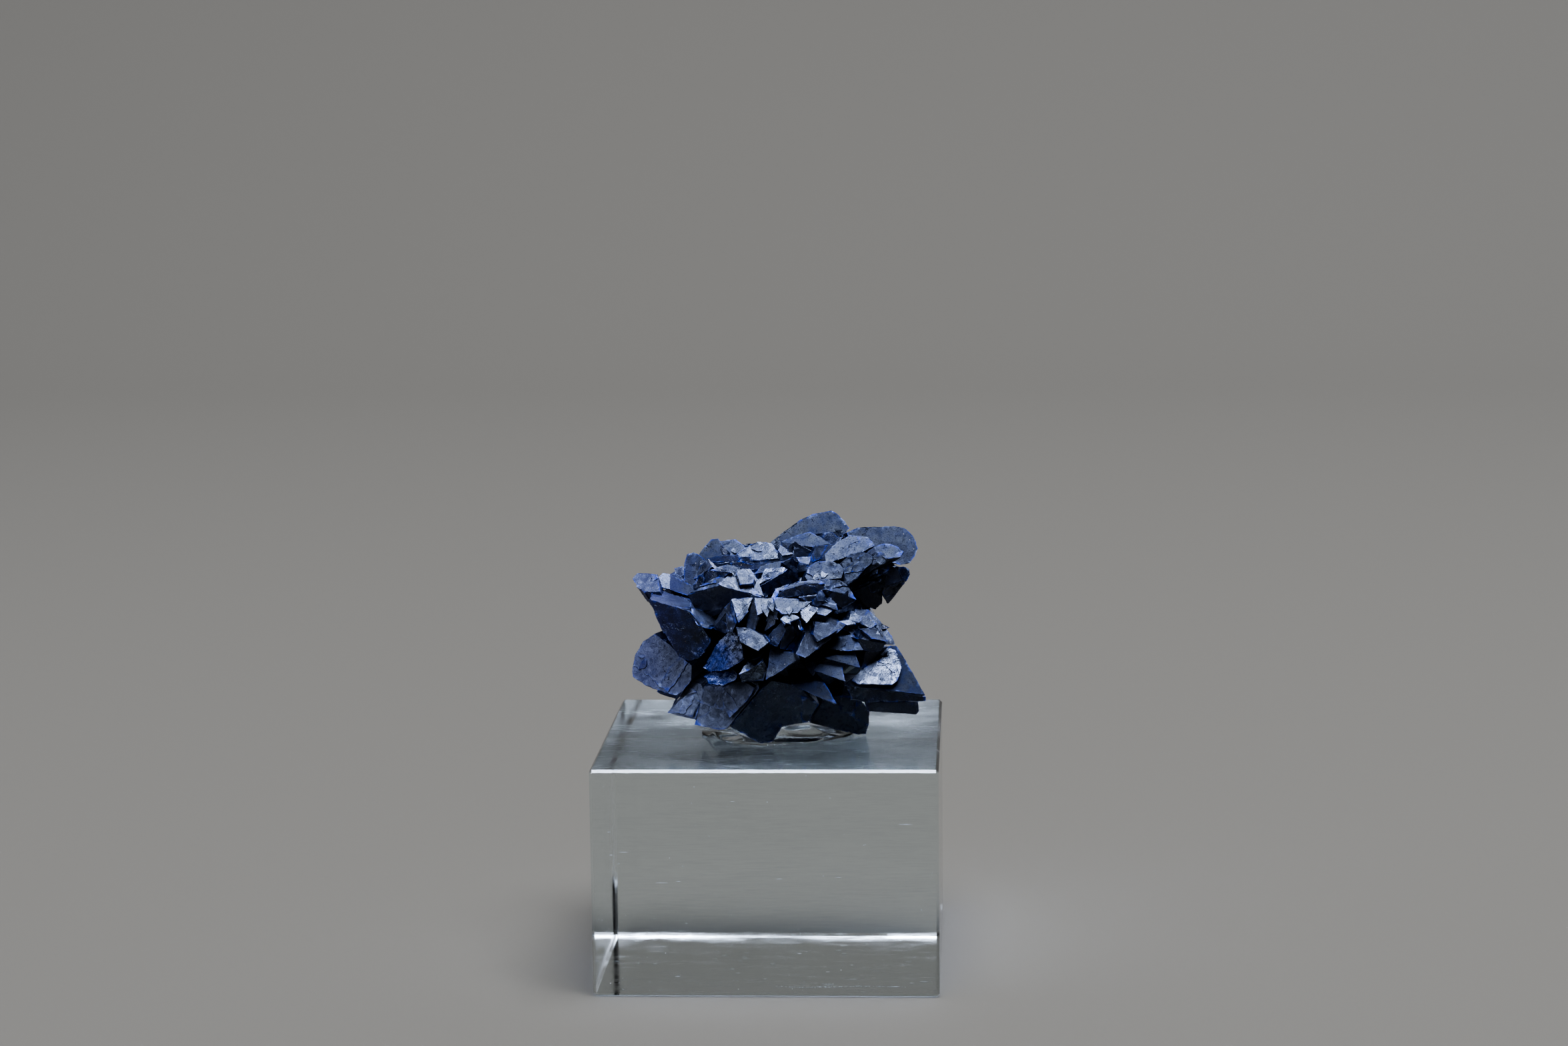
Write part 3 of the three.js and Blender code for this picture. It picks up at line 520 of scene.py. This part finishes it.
def crestValues(piece):
    # 1 at the vertices of the sharp outward edges, where a royal blue glow is painted for the light
    # that thin stone lets through, and a pale highlight along the rubbed crests
    mesh = bmesh.new()
    mesh.from_mesh(piece.data)
    values = [0.0] * len(mesh.verts)
    small = mesh.verts.layers.float["small"]
    for edge in mesh.edges:
        if not edge.smooth and len(edge.link_faces) == 2:
            bend = edge.calc_face_angle_signed()
            if bend > math.radians(cluster["thinBend"]):
                for vertex in edge.verts:
                    thin = min(1.0, bend / cluster["thinnestBend"])
                    thin *= 1 - cluster["toothThin"] * vertex[small]
                    values[vertex.index] = max(values[vertex.index], thin)
    mesh.free()
    return values


crystals = copyOf(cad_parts["azurite_cluster"].data, "azuriteCrystals")
mergeCopy(crystals)
breakTip(crystals)
stoneTree = BVHTree.FromObject(crystals, bpy.context.evaluated_depsgraph_get())
markFacets(crystals)
cutCells(crystals)
chooseSteps(crystals)
jagCuts(crystals)
raiseCells(crystals)
pullBack(crystals, stoneTree)
addTeeth(crystals)
print("azurite cut into growth cells:", len(crystals.data.polygons), "faces")
refine(crystals)
print("azurite refined:", len(crystals.data.polygons), "faces")
broken = roughness(placesOf(crystals))
giveAttribute(crystals, "freshBreak", roughness(placesOf(crystals), roughPatches[:1]))
giveAttribute(crystals, "crest", crestValues(crystals))
giveGroup(crystals, "brokenGround", broken)
striaeWay = bpy.data.objects.new("striaeWay", None)
bpy.context.scene.collection.objects.link(striaeWay)
striaeWay.rotation_euler = (0, math.radians(cluster["striaeTurn"]), 0)
striaeWay.scale = cluster["striaeStretch"]
bpy.context.view_layer.update()
displace(crystals, "CLOUDS", cluster["brokenRelief"], "NORMAL", "brokenGround", striaeWay,
         noise_depth=2)
bpy.data.objects.remove(striaeWay)
displace(crystals, "CLOUDS", cluster["wander"], "RGB_TO_XYZ", cloud_type="COLOR", noise_depth=2)
displace(crystals, "CLOUDS", cluster["pitting"])
pickOnly(crystals)
bpy.ops.object.shade_smooth()
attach(crystals, "root")
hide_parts("azurite_cluster")

# azurite, as grown: vitreous blue so deep that it looks nearly black, under a fine frosting of growth
# pits that turns every facet facing the light pale grey-blue, with a painted royal blue glow on its
# thin edges and a painted pale highlight along some crests
stone = {
    "deep": "#020617", "frost": "#091433", "frosted": (0.4, 0.66),     # where one turns to the other
    # painted light: a violet wash on the left plates, lighter towards the left, stands in for the light
    # that falls on them from the left
    "leftLitViolet": "#20224e", "violetFrom": -8, "violetTo": -13, "violetMost": 0.7,      # mm, left plates
    # painted light: the pale dust colour also brightens facets that the lamps leave too dark
    "dust": "#464a58", "dustSpeckle": (0.5, 1.3),      # pale dust and etching on some facets
    "brokenBlue": "#08215a", "freshFrom": (0.1, 0.8), "brokenMost": 0.7,
    # painted light: a royal blue glow on the thin edges that light comes through; it shows a tenth even
    # outside its patches
    "thin": "#1c40ae", "thinPower": 5.0, "thinShown": (0.42, 0.62, 0.1), "thinMost": 0.65,
    # crests rubbed and bruised pale, with a painted highlight along them
    "worn": "#7f8aa0", "wornPower": 2.5, "wornShown": (0.53, 0.62), "wornMost": 0.6,
    # painted shade: the cracks are darkened for the shade inside them
    "paintedCrackShade": "#010207", "crackMost": 0.8,
    # pale specks of clay left between the crystals: colour, spacing and half width in mm
    "clay": "#9a9184", "clayApart": 0.75, "clayReach": 0.06, "clayShown": (0.5, 0.57),
    "ior": 1.76,                   # azurite's mean index
    "sheen": "#dfe8fa",            # its reflections are a little blue
    "patchRough": (0.16, 0.34),    # roughness of the fresh and the worn patches
    "toneRough": 0.44,             # what a dull facet adds to it
    "pitRough": 0.3,               # what the pits add
    "freshGloss": 0.16,            # what a fresh break takes off
    # patterns as mm across and detail
    "grain": (0.15, 3.0),          # growth pits; the real ones are a little finer
    "patches": (1.6, 5.0),         # worn and fresh patches
    "bends": (1.3, 3.0), "bendReach": 1.1,             # mm, how far they bend the cracks
    "thinPatches": (1.1, 3.0), "wornPatches": (0.8, 4.0), "clayPatches": (2.6, 2.0),
    "ridges": (0.16, 3.0),         # the ridges of the broken patch
    "ridgeStretch": (14, 1, 1),
    # cracks as mm apart, mm across the patches that hold them, and how rare those are
    "cracks": ((2.8, 2.2, 0.58), (1.0, 1.7, 0.65)), "crackWide": 0.024,      # mm
    "mosaicSize": 0.5, "mosaicTilt": 0.22,             # mm, and the lean of its patches
    # relief: height of the grain in mm, and of the ridges and cracks as times that
    "grainHeight": 0.038, "ridgeHeight": 4.0, "crackHeight": -1.6,
}
noiseRough = 0.6                   # of every noise below, a little rougher than the default

azurite, tree, surface = newMaterial("azuriteAsGrown")
place = addNode(tree, "TexCoord", output="Object")
tone, crest, breakHere, dustAndLightHere = (addNode(tree, "Attribute", output="Fac", attribute_name=name)
                                    for name in ("facetTone", "crest", "freshBreak", "facetDustAndLight"))
drawn = addNode(tree, "Mapping", {"Vector": place, "Scale": stone["ridgeStretch"],
                                  "Rotation": (0, math.radians(cluster["striaeTurn"]), 0)},
                vector_type="TEXTURE")
noises = {}
for name in ("grain", "patches", "bends", "thinPatches", "wornPatches", "clayPatches", "ridges"):
    size, detail = stone[name]
    noises[name] = addNode(tree, "TexNoise", {"Vector": drawn if name == "ridges" else place,
                                              "Scale": scaleFor(size), "Detail": detail,
                                              "Roughness": noiseRough}, "Fac")
bend = addNode(tree, "VectorMath", {0: noises["bends"].node.outputs["Color"],
                                    "Scale": stone["bendReach"] * mm}, operation="SCALE")
warped = addNode(tree, "VectorMath", {0: place, 1: bend}, operation="ADD")
webs = []
for apart, spread, rare in stone["cracks"]:
    web = addNode(tree, "TexVoronoi", {"Vector": warped, "Scale": scaleFor(apart)}, "Distance",
                  feature="DISTANCE_TO_EDGE")
    line = addNode(tree, "MapRange", {"Value": web, "From Max": stone["crackWide"] / apart,
                                      "To Min": 1.0, "To Max": 0.0})
    where = addNode(tree, "TexNoise", {"Vector": place, "Scale": scaleFor(spread), "Detail": 2.0,
                                       "Roughness": noiseRough}, "Fac")
    where = addNode(tree, "MapRange", {"Value": where, "From Min": rare, "From Max": rare + 0.06})
    webs.append(addNode(tree, "Math", {0: line, 1: where}, operation="MULTIPLY"))
crack = addNode(tree, "Math", {0: webs[0], 1: webs[1]}, operation="MAXIMUM")
# each facet is a mosaic of patches that lean a few degrees apart and glint one by one
mosaic = addNode(tree, "TexVoronoi", {"Vector": warped, "Scale": scaleFor(stone["mosaicSize"])},
                 "Color")
leaning = addNode(tree, "VectorMath", {0: mosaic, 1: (0.5, 0.5, 0.5)}, operation="SUBTRACT")
leaning = addNode(tree, "VectorMath", {0: leaning, "Scale": stone["mosaicTilt"]}, operation="SCALE")
level = addNode(tree, "NewGeometry", output="Normal")
leaning = addNode(tree, "VectorMath", {0: level, 1: leaning}, operation="ADD")
leaning = addNode(tree, "VectorMath", {0: leaning}, operation="NORMALIZE")
# where each of the colours shows, then the colours over each other
frosted = addNode(tree, "MapRange", {"Value": noises["patches"], "From Min": stone["frosted"][0],
                                     "From Max": stone["frosted"][1]})
across = addNode(tree, "SeparateXYZ", {"Vector": place}, "X")
speckle = addNode(tree, "MapRange", {"Value": noises["grain"], "From Min": 0.35, "From Max": 0.65,
                                     "To Min": stone["dustSpeckle"][0],
                                     "To Max": stone["dustSpeckle"][1]})
dustAndLight = addNode(tree, "Math", {0: dustAndLightHere, 1: speckle}, operation="MULTIPLY", use_clamp=True)
thinLow, thinHigh, thinLeast = stone["thinShown"]
paintedGlowWhere = addNode(tree, "MapRange", {"Value": noises["thinPatches"], "From Min": thinLow,
                                       "From Max": thinHigh, "To Min": thinLeast})
paintedGlowHere = addNode(tree, "Math", {0: crest, 1: stone["thinPower"]}, operation="POWER")
paintedGlowHere = addNode(tree, "Math", {0: paintedGlowHere, 1: paintedGlowWhere}, operation="MULTIPLY")
rubbedAndHighlitWhere = addNode(tree, "MapRange", {"Value": noises["wornPatches"],
                                       "From Min": stone["wornShown"][0],
                                       "From Max": stone["wornShown"][1]})
rubbedAndHighlitHere = addNode(tree, "Math", {0: crest, 1: stone["wornPower"]}, operation="POWER")
rubbedAndHighlitHere = addNode(tree, "Math", {0: rubbedAndHighlitHere, 1: rubbedAndHighlitWhere}, operation="MULTIPLY")
clayCell = addNode(tree, "TexVoronoi", {"Vector": place, "Scale": scaleFor(stone["clayApart"])},
                   "Distance")
clayReach = stone["clayReach"] / stone["clayApart"]
claySpot = addNode(tree, "MapRange", {"Value": clayCell, "From Min": 0.5 * clayReach,
                                      "From Max": clayReach, "To Min": 1.0, "To Max": 0.0})
clayWhere = addNode(tree, "MapRange", {"Value": noises["clayPatches"],
                                       "From Min": stone["clayShown"][0],
                                       "From Max": stone["clayShown"][1]})
freshFrom, freshTo = stone["freshFrom"]
layers = (
    # painted light from the left: the left plates turn violet towards their left edge
    ("leftLitViolet", addNode(tree, "MapRange", {"Value": across, "From Min": stone["violetFrom"] * mm,
                                          "From Max": stone["violetTo"] * mm,
                                          "To Max": stone["violetMost"]})),
    # pale dust, partly painted light on facets the lamps leave too dark
    ("dust", dustAndLight),
    ("brokenBlue", addNode(tree, "MapRange", {"Value": breakHere, "From Min": freshFrom,
                                              "From Max": freshTo, "To Max": stone["brokenMost"]})),
    # painted light: royal blue glow along the thin crests
    ("thin", addNode(tree, "MapRange", {"Value": paintedGlowHere, "To Max": stone["thinMost"]})),
    # rubbed pale crests, partly a painted highlight along them
    ("worn", addNode(tree, "MapRange", {"Value": rubbedAndHighlitHere, "To Max": stone["wornMost"]})),
    # painted shade in the cracks
    ("paintedCrackShade", addNode(tree, "MapRange", {"Value": crack, "To Max": stone["crackMost"]})),
    ("clay", addNode(tree, "Math", {0: claySpot, 1: clayWhere}, operation="MULTIPLY")),
)
body = addNode(tree, "Mix", {0: frosted, 6: stone["deep"], 7: stone["frost"]}, 2, data_type="RGBA")
for name, where in layers:
    body = addNode(tree, "Mix", {0: where, 6: body, 7: stone[name]}, 2, data_type="RGBA")
# gloss: dull facets, worn patches, pits and cracks are rougher, a fresh break is smoother
gloss = addNode(tree, "MapRange", {"Value": noises["patches"], "From Min": 0.3, "From Max": 0.7,
                                   "To Min": stone["patchRough"][0],
                                   "To Max": stone["patchRough"][1]})
gloss = addNode(tree, "Math", {0: tone, 1: stone["toneRough"], 2: gloss}, operation="MULTIPLY_ADD")
pits = addNode(tree, "MapRange", {"Value": noises["grain"], "From Min": 0.3, "From Max": 0.45,
                                  "To Min": stone["pitRough"], "To Max": 0.0})
fresh = addNode(tree, "MapRange", {"Value": breakHere, "From Min": freshFrom, "From Max": freshTo,
                                   "To Max": stone["freshGloss"]})
for change, operation in ((pits, "ADD"), (crack, "ADD"), (fresh, "SUBTRACT")):
    gloss = addNode(tree, "Math", {0: gloss, 1: change}, operation=operation, use_clamp=True)
# relief: grain all over, ridges on the fresh break, sunk cracks
height = addNode(tree, "Math", {0: noises["ridges"], 1: breakHere}, operation="MULTIPLY")
height = addNode(tree, "Math", {0: height, 1: stone["ridgeHeight"], 2: noises["grain"]},
                 operation="MULTIPLY_ADD")
height = addNode(tree, "Math", {0: crack, 1: stone["crackHeight"], 2: height},
                 operation="MULTIPLY_ADD")
relief = addNode(tree, "Bump", {"Strength": 1.0, "Distance": stone["grainHeight"] * mm,
                                "Height": height, "Normal": leaning})
skin = addNode(tree, "BsdfPrincipled", {"IOR": stone["ior"], "Specular Tint": stone["sheen"],
                                        "Base Color": body, "Roughness": gloss, "Normal": relief})
tree.links.new(skin, surface)
crystals.data.materials.append(azurite)

# museum gel: a clear soft putty pressed under the specimen, wet and glossy, which climbs the
# stone in places
gelPad = {
    "middle": (0.3, -1.4), "halfSize": (8.6, 5.7),     # mm
    "bottom": 25.28, "thickness": 0.42,                # mm, a little way into the block
    "corners": 48, "rings": (0.35, 0.5, 0.7, 0.8, 0.9, 0.9),         # round it, and mm inwards
    # its outline's lobes: how many, how far out, and where they start
    "lobes": ((3, 0.05, 0.8), (7, 0.03, 0.0)),
    # where it climbs the stone: place, half widths across and back, and height, mm
    "rises": ((2.9, -4.4, 3.0, 1.0, 1.35), (5.6, -3.6, 2.2, 1.0, 0.4),
              (-5.9, -4.4, 2.8, 1.1, 0.8), (0.5, 0.5, 6.0, 3.0, 0.5)),
    "dents": (2.2, 0.06),                              # mm, size and height
    "tint": "#f4f6f8", "ior": 1.45, "roughness": 0.1,
    "rippleSize": 0.8, "rippleHeight": 0.02,           # mm
}


def addGel():
    bpy.ops.object.select_all(action="DESELECT")
    x, y = (v * mm for v in gelPad["middle"])
    halfWide, halfDeep = (v * mm for v in gelPad["halfSize"])
    low, thick = gelPad["bottom"] * mm, gelPad["thickness"] * mm
    bpy.ops.mesh.primitive_cylinder_add(vertices=gelPad["corners"], radius=1, depth=thick,
                                        location=(x, y, low + thick / 2), scale=(halfWide, halfDeep, 1))
    gel = bpy.context.object
    gel.name = "museumGel"
    bpy.ops.object.transform_apply(location=True, rotation=False, scale=True)
    editOn(gel)
    pickParts(gel, "faces", lambda face: face.normal.z > 0.9)
    for inward in gelPad["rings"]:
        bpy.ops.mesh.inset(thickness=inward * mm, depth=0)
    editOff()
    smooth = gel.modifiers.new("smooth", "SUBSURF")
    smooth.levels = smooth.render_levels = 2
    applyModifier(gel, smooth)
    for vertex in gel.data.vertices:
        place = vertex.co / mm
        turn = math.atan2(place.y - gelPad["middle"][1], place.x - gelPad["middle"][0])
        lobe = 1 + sum(out * math.sin(count * turn + start) for count, out, start in gelPad["lobes"])
        vertex.co.x, vertex.co.y = x + (vertex.co.x - x) * lobe, y + (vertex.co.y - y) * lobe
        upper = (vertex.co.z - low) / thick
        rise = sum(height * math.exp(-((place.x - px) / wide) ** 4 - ((place.y - py) / deep) ** 2)
                   for px, py, wide, deep, height in gelPad["rises"])
        vertex.co.z += max(0.0, upper) * rise * mm
    displace(gel, "CLOUDS", gelPad["dents"])
    bpy.ops.object.shade_smooth()
    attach(gel, "root")
    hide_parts("museum_gel")
    return gel


gel = addGel()
gelClear, tree, surface = newMaterial("museumGelPressed")
place = addNode(tree, "TexCoord", output="Object")
ripple = addNode(tree, "TexNoise", {"Vector": place, "Scale": scaleFor(gelPad["rippleSize"]),
                                    "Detail": 2.0, "Roughness": noiseRough}, "Fac")
relief = addNode(tree, "Bump", {"Strength": 0.4, "Distance": gelPad["rippleHeight"] * mm,
                                "Height": ripple})
skin = addNode(tree, "BsdfPrincipled", {"Base Color": gelPad["tint"], "IOR": gelPad["ior"],
                                        "Roughness": gelPad["roughness"],
                                        "Transmission Weight": 1.0, "Normal": relief})
tree.links.new(skin, surface)
gel.data.materials.append(gelClear)
print("gel made")

# cast acrylic, sawn and polished: clear right through, its faces hazed by hairline scratches
# from handling, which run mostly left to right and catch the light
acrylicFinish = {
    "tint": "#eef4f5", "ior": 1.49,
    "hairWidth": 0.09,             # mm, scratches; real ones are near 0.02 mm, too fine to show
    "hairStretch": 30,             # how many times longer than wide
    "hairTurn": 2,                 # degrees off the block's width
    "hairShown": (0.46, 0.66),
    "cloudSize": 3.0, "cloudStretch": 0.35, "cloudShown": (0.34, 0.58),      # mm, scratched areas
    "onSides": 0.25,               # how much of it the sides have
    "polished": 0.02, "hazed": 0.34,
    "hairDepth": 0.004,            # mm
    "streak": "#bcc6ca",           # the bottoms of the scratches hold a little grime
}
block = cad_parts["acrylic_block"]
acrylic, tree, surface = newMaterial("castAcrylicPolished")
place = addNode(tree, "TexCoord", output="Object")
masks = []
for size, detail, stretch, turn, shown in (
        (acrylicFinish["hairWidth"], 3.0, 1 / acrylicFinish["hairStretch"], acrylicFinish["hairTurn"],
         acrylicFinish["hairShown"]),
        (acrylicFinish["cloudSize"], 4.0, acrylicFinish["cloudStretch"], 0,
         acrylicFinish["cloudShown"])):
    along = addNode(tree, "Mapping", {"Vector": place, "Scale": (stretch, 1, 1),
                                      "Rotation": (0, 0, math.radians(turn))})
    noise = addNode(tree, "TexNoise", {"Vector": along, "Scale": scaleFor(size), "Detail": detail,
                                       "Roughness": noiseRough}, "Fac")
    masks.append(addNode(tree, "MapRange", {"Value": noise, "From Min": shown[0],
                                            "From Max": shown[1]}))
scratched = addNode(tree, "Math", {0: masks[0], 1: masks[1]}, operation="MULTIPLY", use_clamp=True)
facing = addNode(tree, "SeparateXYZ", {"Vector": addNode(tree, "NewGeometry", output="Normal")}, "Z")
upward = addNode(tree, "MapRange", {"Value": facing, "From Min": 0.5, "From Max": 0.9,
                                    "To Min": acrylicFinish["onSides"]})
scratched = addNode(tree, "Math", {0: scratched, 1: upward}, operation="MULTIPLY")
haze = addNode(tree, "MapRange", {"Value": scratched, "To Min": acrylicFinish["polished"],
                                  "To Max": acrylicFinish["hazed"]})
relief = addNode(tree, "Bump", {"Strength": 0.6, "Distance": acrylicFinish["hairDepth"] * mm,
                                "Height": scratched})
tint = addNode(tree, "Mix", {0: scratched, 6: acrylicFinish["tint"], 7: acrylicFinish["streak"]}, 2,
               data_type="RGBA")
skin = addNode(tree, "BsdfPrincipled", {"IOR": acrylicFinish["ior"], "Transmission Weight": 1.0,
                                        "Base Color": tint, "Normal": relief, "Roughness": haze})
tree.links.new(skin, surface)
block.data.materials.clear()
block.data.materials.append(acrylic)

# dust and nicks on the block: pale specks and short scratches on its top, front and right side,
# and dust that lies under it and shows through
specks = {
    "top": 90, "front": 80, "under": 110, "side": 24,      # how many
    "half": 19.05, "high": 25.4, "spread": 18.4,           # mm, the block, and the specks' reach
    "lift": 0.03,                  # mm, what lies under the block is just inside it
    "sizes": (0.03, 0.13), "thick": 0.02,                  # mm
    "wide": 0.8,                   # times the size
    # a share of them are short scratches, so many times as long and as wide
    "longShare": 0.25, "longTimes": (4, 16), "longWide": 0.35,
    # one long scuff under the block, mm from its middle, of grits in rows
    "scuff": ((1.0, -13.0), (4.0, -13.8), (7.5, -13.2), (12.0, -12.8), (15.5, -13.4)),
    "scuffGrits": 14, "scuffStray": 0.4,                   # in each row, and share of their spacing
    "scuffGrit": (0.22, 0.06, 0.02),                       # mm
    "darkest": "#6f767c", "palest": "#d9dfe4", "roughness": 0.7, "mottle": 0.5,      # mm
}


def makeGrit():
    # one chipped grain
    bpy.ops.object.select_all(action="DESELECT")
    bpy.ops.mesh.primitive_ico_sphere_add(subdivisions=1, radius=0.5)
    grit = bpy.context.object
    editOn(grit)
    bpy.ops.mesh.select_all(action="SELECT")
    bpy.ops.mesh.bisect(plane_co=(0.2, 0, 0), plane_no=(1, 0.4, 0.3), use_fill=True, clear_outer=True)
    editOff()
    return grit


def layGrit(grit, place, sides):
    # a copy of the grain with those sides, at that place, mm
    copy = copyOf(grit.data, "grit")
    copy.data.transform(Matrix.Translation(Vector(place) * mm) @
                        Matrix.Diagonal((*(Vector(sides) * mm), 1)))
    return copy


def addSpecks():
    grit = makeGrit()
    half, high, lift = specks["half"], specks["high"], specks["lift"]
    # each face of the block: where a speck falls, and the axis along which it is thin
    planes = (
        ("top", lambda u, v: (u, v, high), 2),
        ("front", lambda u, v: (u, -half, (v + half) * high / (2 * half)), 1),
        ("under", lambda u, v: (u, v, lift), 2),
        ("side", lambda u, v: (half, u, (v + half) * high / (2 * half)), 0),
    )
    spread = (-specks["spread"], specks["spread"])
    copies = []
    for name, at, flat in planes:
        for _ in range(specks[name]):
            place = at(random.uniform(*spread), random.uniform(*spread))
            size = random.uniform(*specks["sizes"])
            if random.random() < specks["longShare"]:
                sides = [size * random.uniform(*specks["longTimes"]), size * specks["longWide"]]
            else:
                sides = [size, size * specks["wide"]]
            sides.insert(flat, specks["thick"])
            copies.append(layGrit(grit, place, sides))
    count, stray = specks["scuffGrits"], specks["scuffStray"]
    for start, end in zip(specks["scuff"], specks["scuff"][1:]):
        for step in range(count):
            x, y = (a + (b - a) * (step + random.uniform(-stray, stray)) / count
                    for a, b in zip(start, end))
            copies.append(layGrit(grit, (x, y, lift), specks["scuffGrit"]))
    bpy.data.objects.remove(grit)
    joinInto(copies[0], copies)
    copies[0].name = "dustAndNicks"
    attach(copies[0], "root")
    return copies[0]


dust = addSpecks()
nicked, tree, surface = newMaterial("acrylicNickedAndDusty")
place = addNode(tree, "TexCoord", output="Object")
mottle = addNode(tree, "TexNoise", {"Vector": place, "Scale": scaleFor(specks["mottle"]),
                                    "Detail": 4.0, "Roughness": noiseRough}, "Fac")
shade = addNode(tree, "Mix", {0: mottle, 6: specks["darkest"], 7: specks["palest"]}, 2,
                data_type="RGBA")
skin = addNode(tree, "BsdfPrincipled", {"Roughness": specks["roughness"],
                                        "IOR": acrylicFinish["ior"], "Base Color": shade})
tree.links.new(skin, surface)
dust.data.materials.append(nicked)
print("block finished")

# a plain pale floor that sweeps up into a plain backdrop, metres
stage = {
    "halfWidth": 1.6, "front": -1.2, "back": 0.9, "height": 1.4,
    "sweep": 0.35, "sweepSteps": 24,
    "drop": 0.0001,                # the floor lies just below the block, not in its underside
    "near": 0.01,                  # an edge this close to the back or the floor is on it
    "paper": "#a9a8a6", "roughness": 0.9,
}
bpy.ops.object.select_all(action="DESELECT")
bpy.ops.mesh.primitive_plane_add(size=1, location=(0, (stage["front"] + stage["back"]) / 2,
                                                   -stage["drop"]))
sweep = bpy.context.object
sweep.name = "paleSweep"
sweep.scale = (2 * stage["halfWidth"], stage["back"] - stage["front"], 1)
bpy.ops.object.transform_apply(location=True, rotation=False, scale=True)
editOn(sweep, "EDGE")
backLine = stage["back"] - stage["near"]
pickParts(sweep, "edges", lambda edge: all(v.co.y > backLine for v in edge.verts))
bpy.ops.mesh.extrude_region_move(TRANSFORM_OT_translate={"value": (0, 0, stage["height"])})
pickParts(sweep, "edges", lambda edge: all(v.co.y > backLine and v.co.z < stage["near"]
                                           for v in edge.verts))
bpy.ops.mesh.bevel(offset=stage["sweep"], segments=stage["sweepSteps"], affect="EDGES")
editOff()
bpy.ops.object.shade_smooth()
paper, tree, surface = newMaterial("paleMattPaper")
skin = addNode(tree, "BsdfPrincipled", {"Base Color": stage["paper"], "Roughness": stage["roughness"]})
tree.links.new(skin, surface)
sweep.data.materials.append(paper)


def lightGroup(name, pieces):
    group = bpy.data.collections.new(name)
    for piece in pieces:
        group.objects.link(piece)
    return group


def softbox(name, place, aim, size, power, colour, lit):
    lamp = bpy.data.lights.new(name, "AREA")
    lamp.shape, lamp.size, lamp.size_y = "RECTANGLE", size[0], size[1]
    lamp.energy, lamp.color = power, linear(colour)[:3]
    box = bpy.data.objects.new(name, lamp)
    bpy.context.scene.collection.objects.link(box)
    box.location = place
    box.rotation_euler = (Vector(aim) - Vector(place)).to_track_quat("-Z", "Y").to_euler()
    box.light_linking.receiver_collection = lit


# the specimen and the floor have their own lights, so that the floor's glow doesn't fill the
# stone's dark sides
specimen = lightGroup("specimenLit", (crystals, gel, block, dust))
stoneOnly = lightGroup("stoneLit", (crystals,))
ground = lightGroup("groundLit", (sweep,))
# place, aim and size in metres, watts, colour, and what each one lights
lights = {
    "overhead": ((0.045, -0.17, 0.61), (0, 0, 0.035), (0.36, 0.32), 13.5, "#d6e0f5", specimen),
    "leftFill": ((-0.5, -0.42, 0.26), (0, 0, 0.035), (0.3, 0.25), 2.4, "#ccd2ea", specimen),
    "backFill": ((0.32, 0.5, 0.3), (0, 0, 0.035), (0.35, 0.3), 5.0, "#cdd4ea", stoneOnly),
    "floorWash": ((0.2, -0.3, 1.6), (0, 0.2, 0), (1.2, 1.2), 19.0, "#ffffff", ground),
}
for name, settings in lights.items():
    softbox(name, *settings)
room = {"colour": "#7f8798", "strength": 0.015, "look": "AgX - High Contrast"}
world = bpy.data.worlds.new("dimStudio")
world.use_nodes = True
world.node_tree.nodes["Background"].inputs["Color"].default_value = linear(room["colour"])
world.node_tree.nodes["Background"].inputs["Strength"].default_value = room["strength"]
bpy.context.scene.world = world
bpy.context.scene.view_settings.look = room["look"]
print("floor and lights set")

# the camera, solved from the block's nine visible corners
view = {
    "place": (0.02362, -0.39805, 0.11172), "nearest": 0.01, "furthest": 20,      # metres
    "lens": 82.1, "sensor": 36.0,                      # mm
    "yaw": -3.173, "pitch": 8.854, "roll": -0.689,     # degrees
}
camera = bpy.data.cameras.new("photoView")
camera.lens, camera.sensor_width, camera.sensor_fit = view["lens"], view["sensor"], "HORIZONTAL"
camera.clip_start, camera.clip_end = view["nearest"], view["furthest"]
cameraObject = bpy.data.objects.new("photoView", camera)
bpy.context.scene.collection.objects.link(cameraObject)
yaw, pitch, roll = (math.radians(view[k]) for k in ("yaw", "pitch", "roll"))
ahead = Vector((math.cos(pitch) * math.sin(yaw), math.cos(pitch) * math.cos(yaw), -math.sin(pitch)))
turned = ahead.to_track_quat("-Z", "Y") @ Quaternion((0, 0, 1), roll)
cameraObject.location, cameraObject.rotation_euler = view["place"], turned.to_euler()
bpy.context.scene.camera = cameraObject
print("camera set")
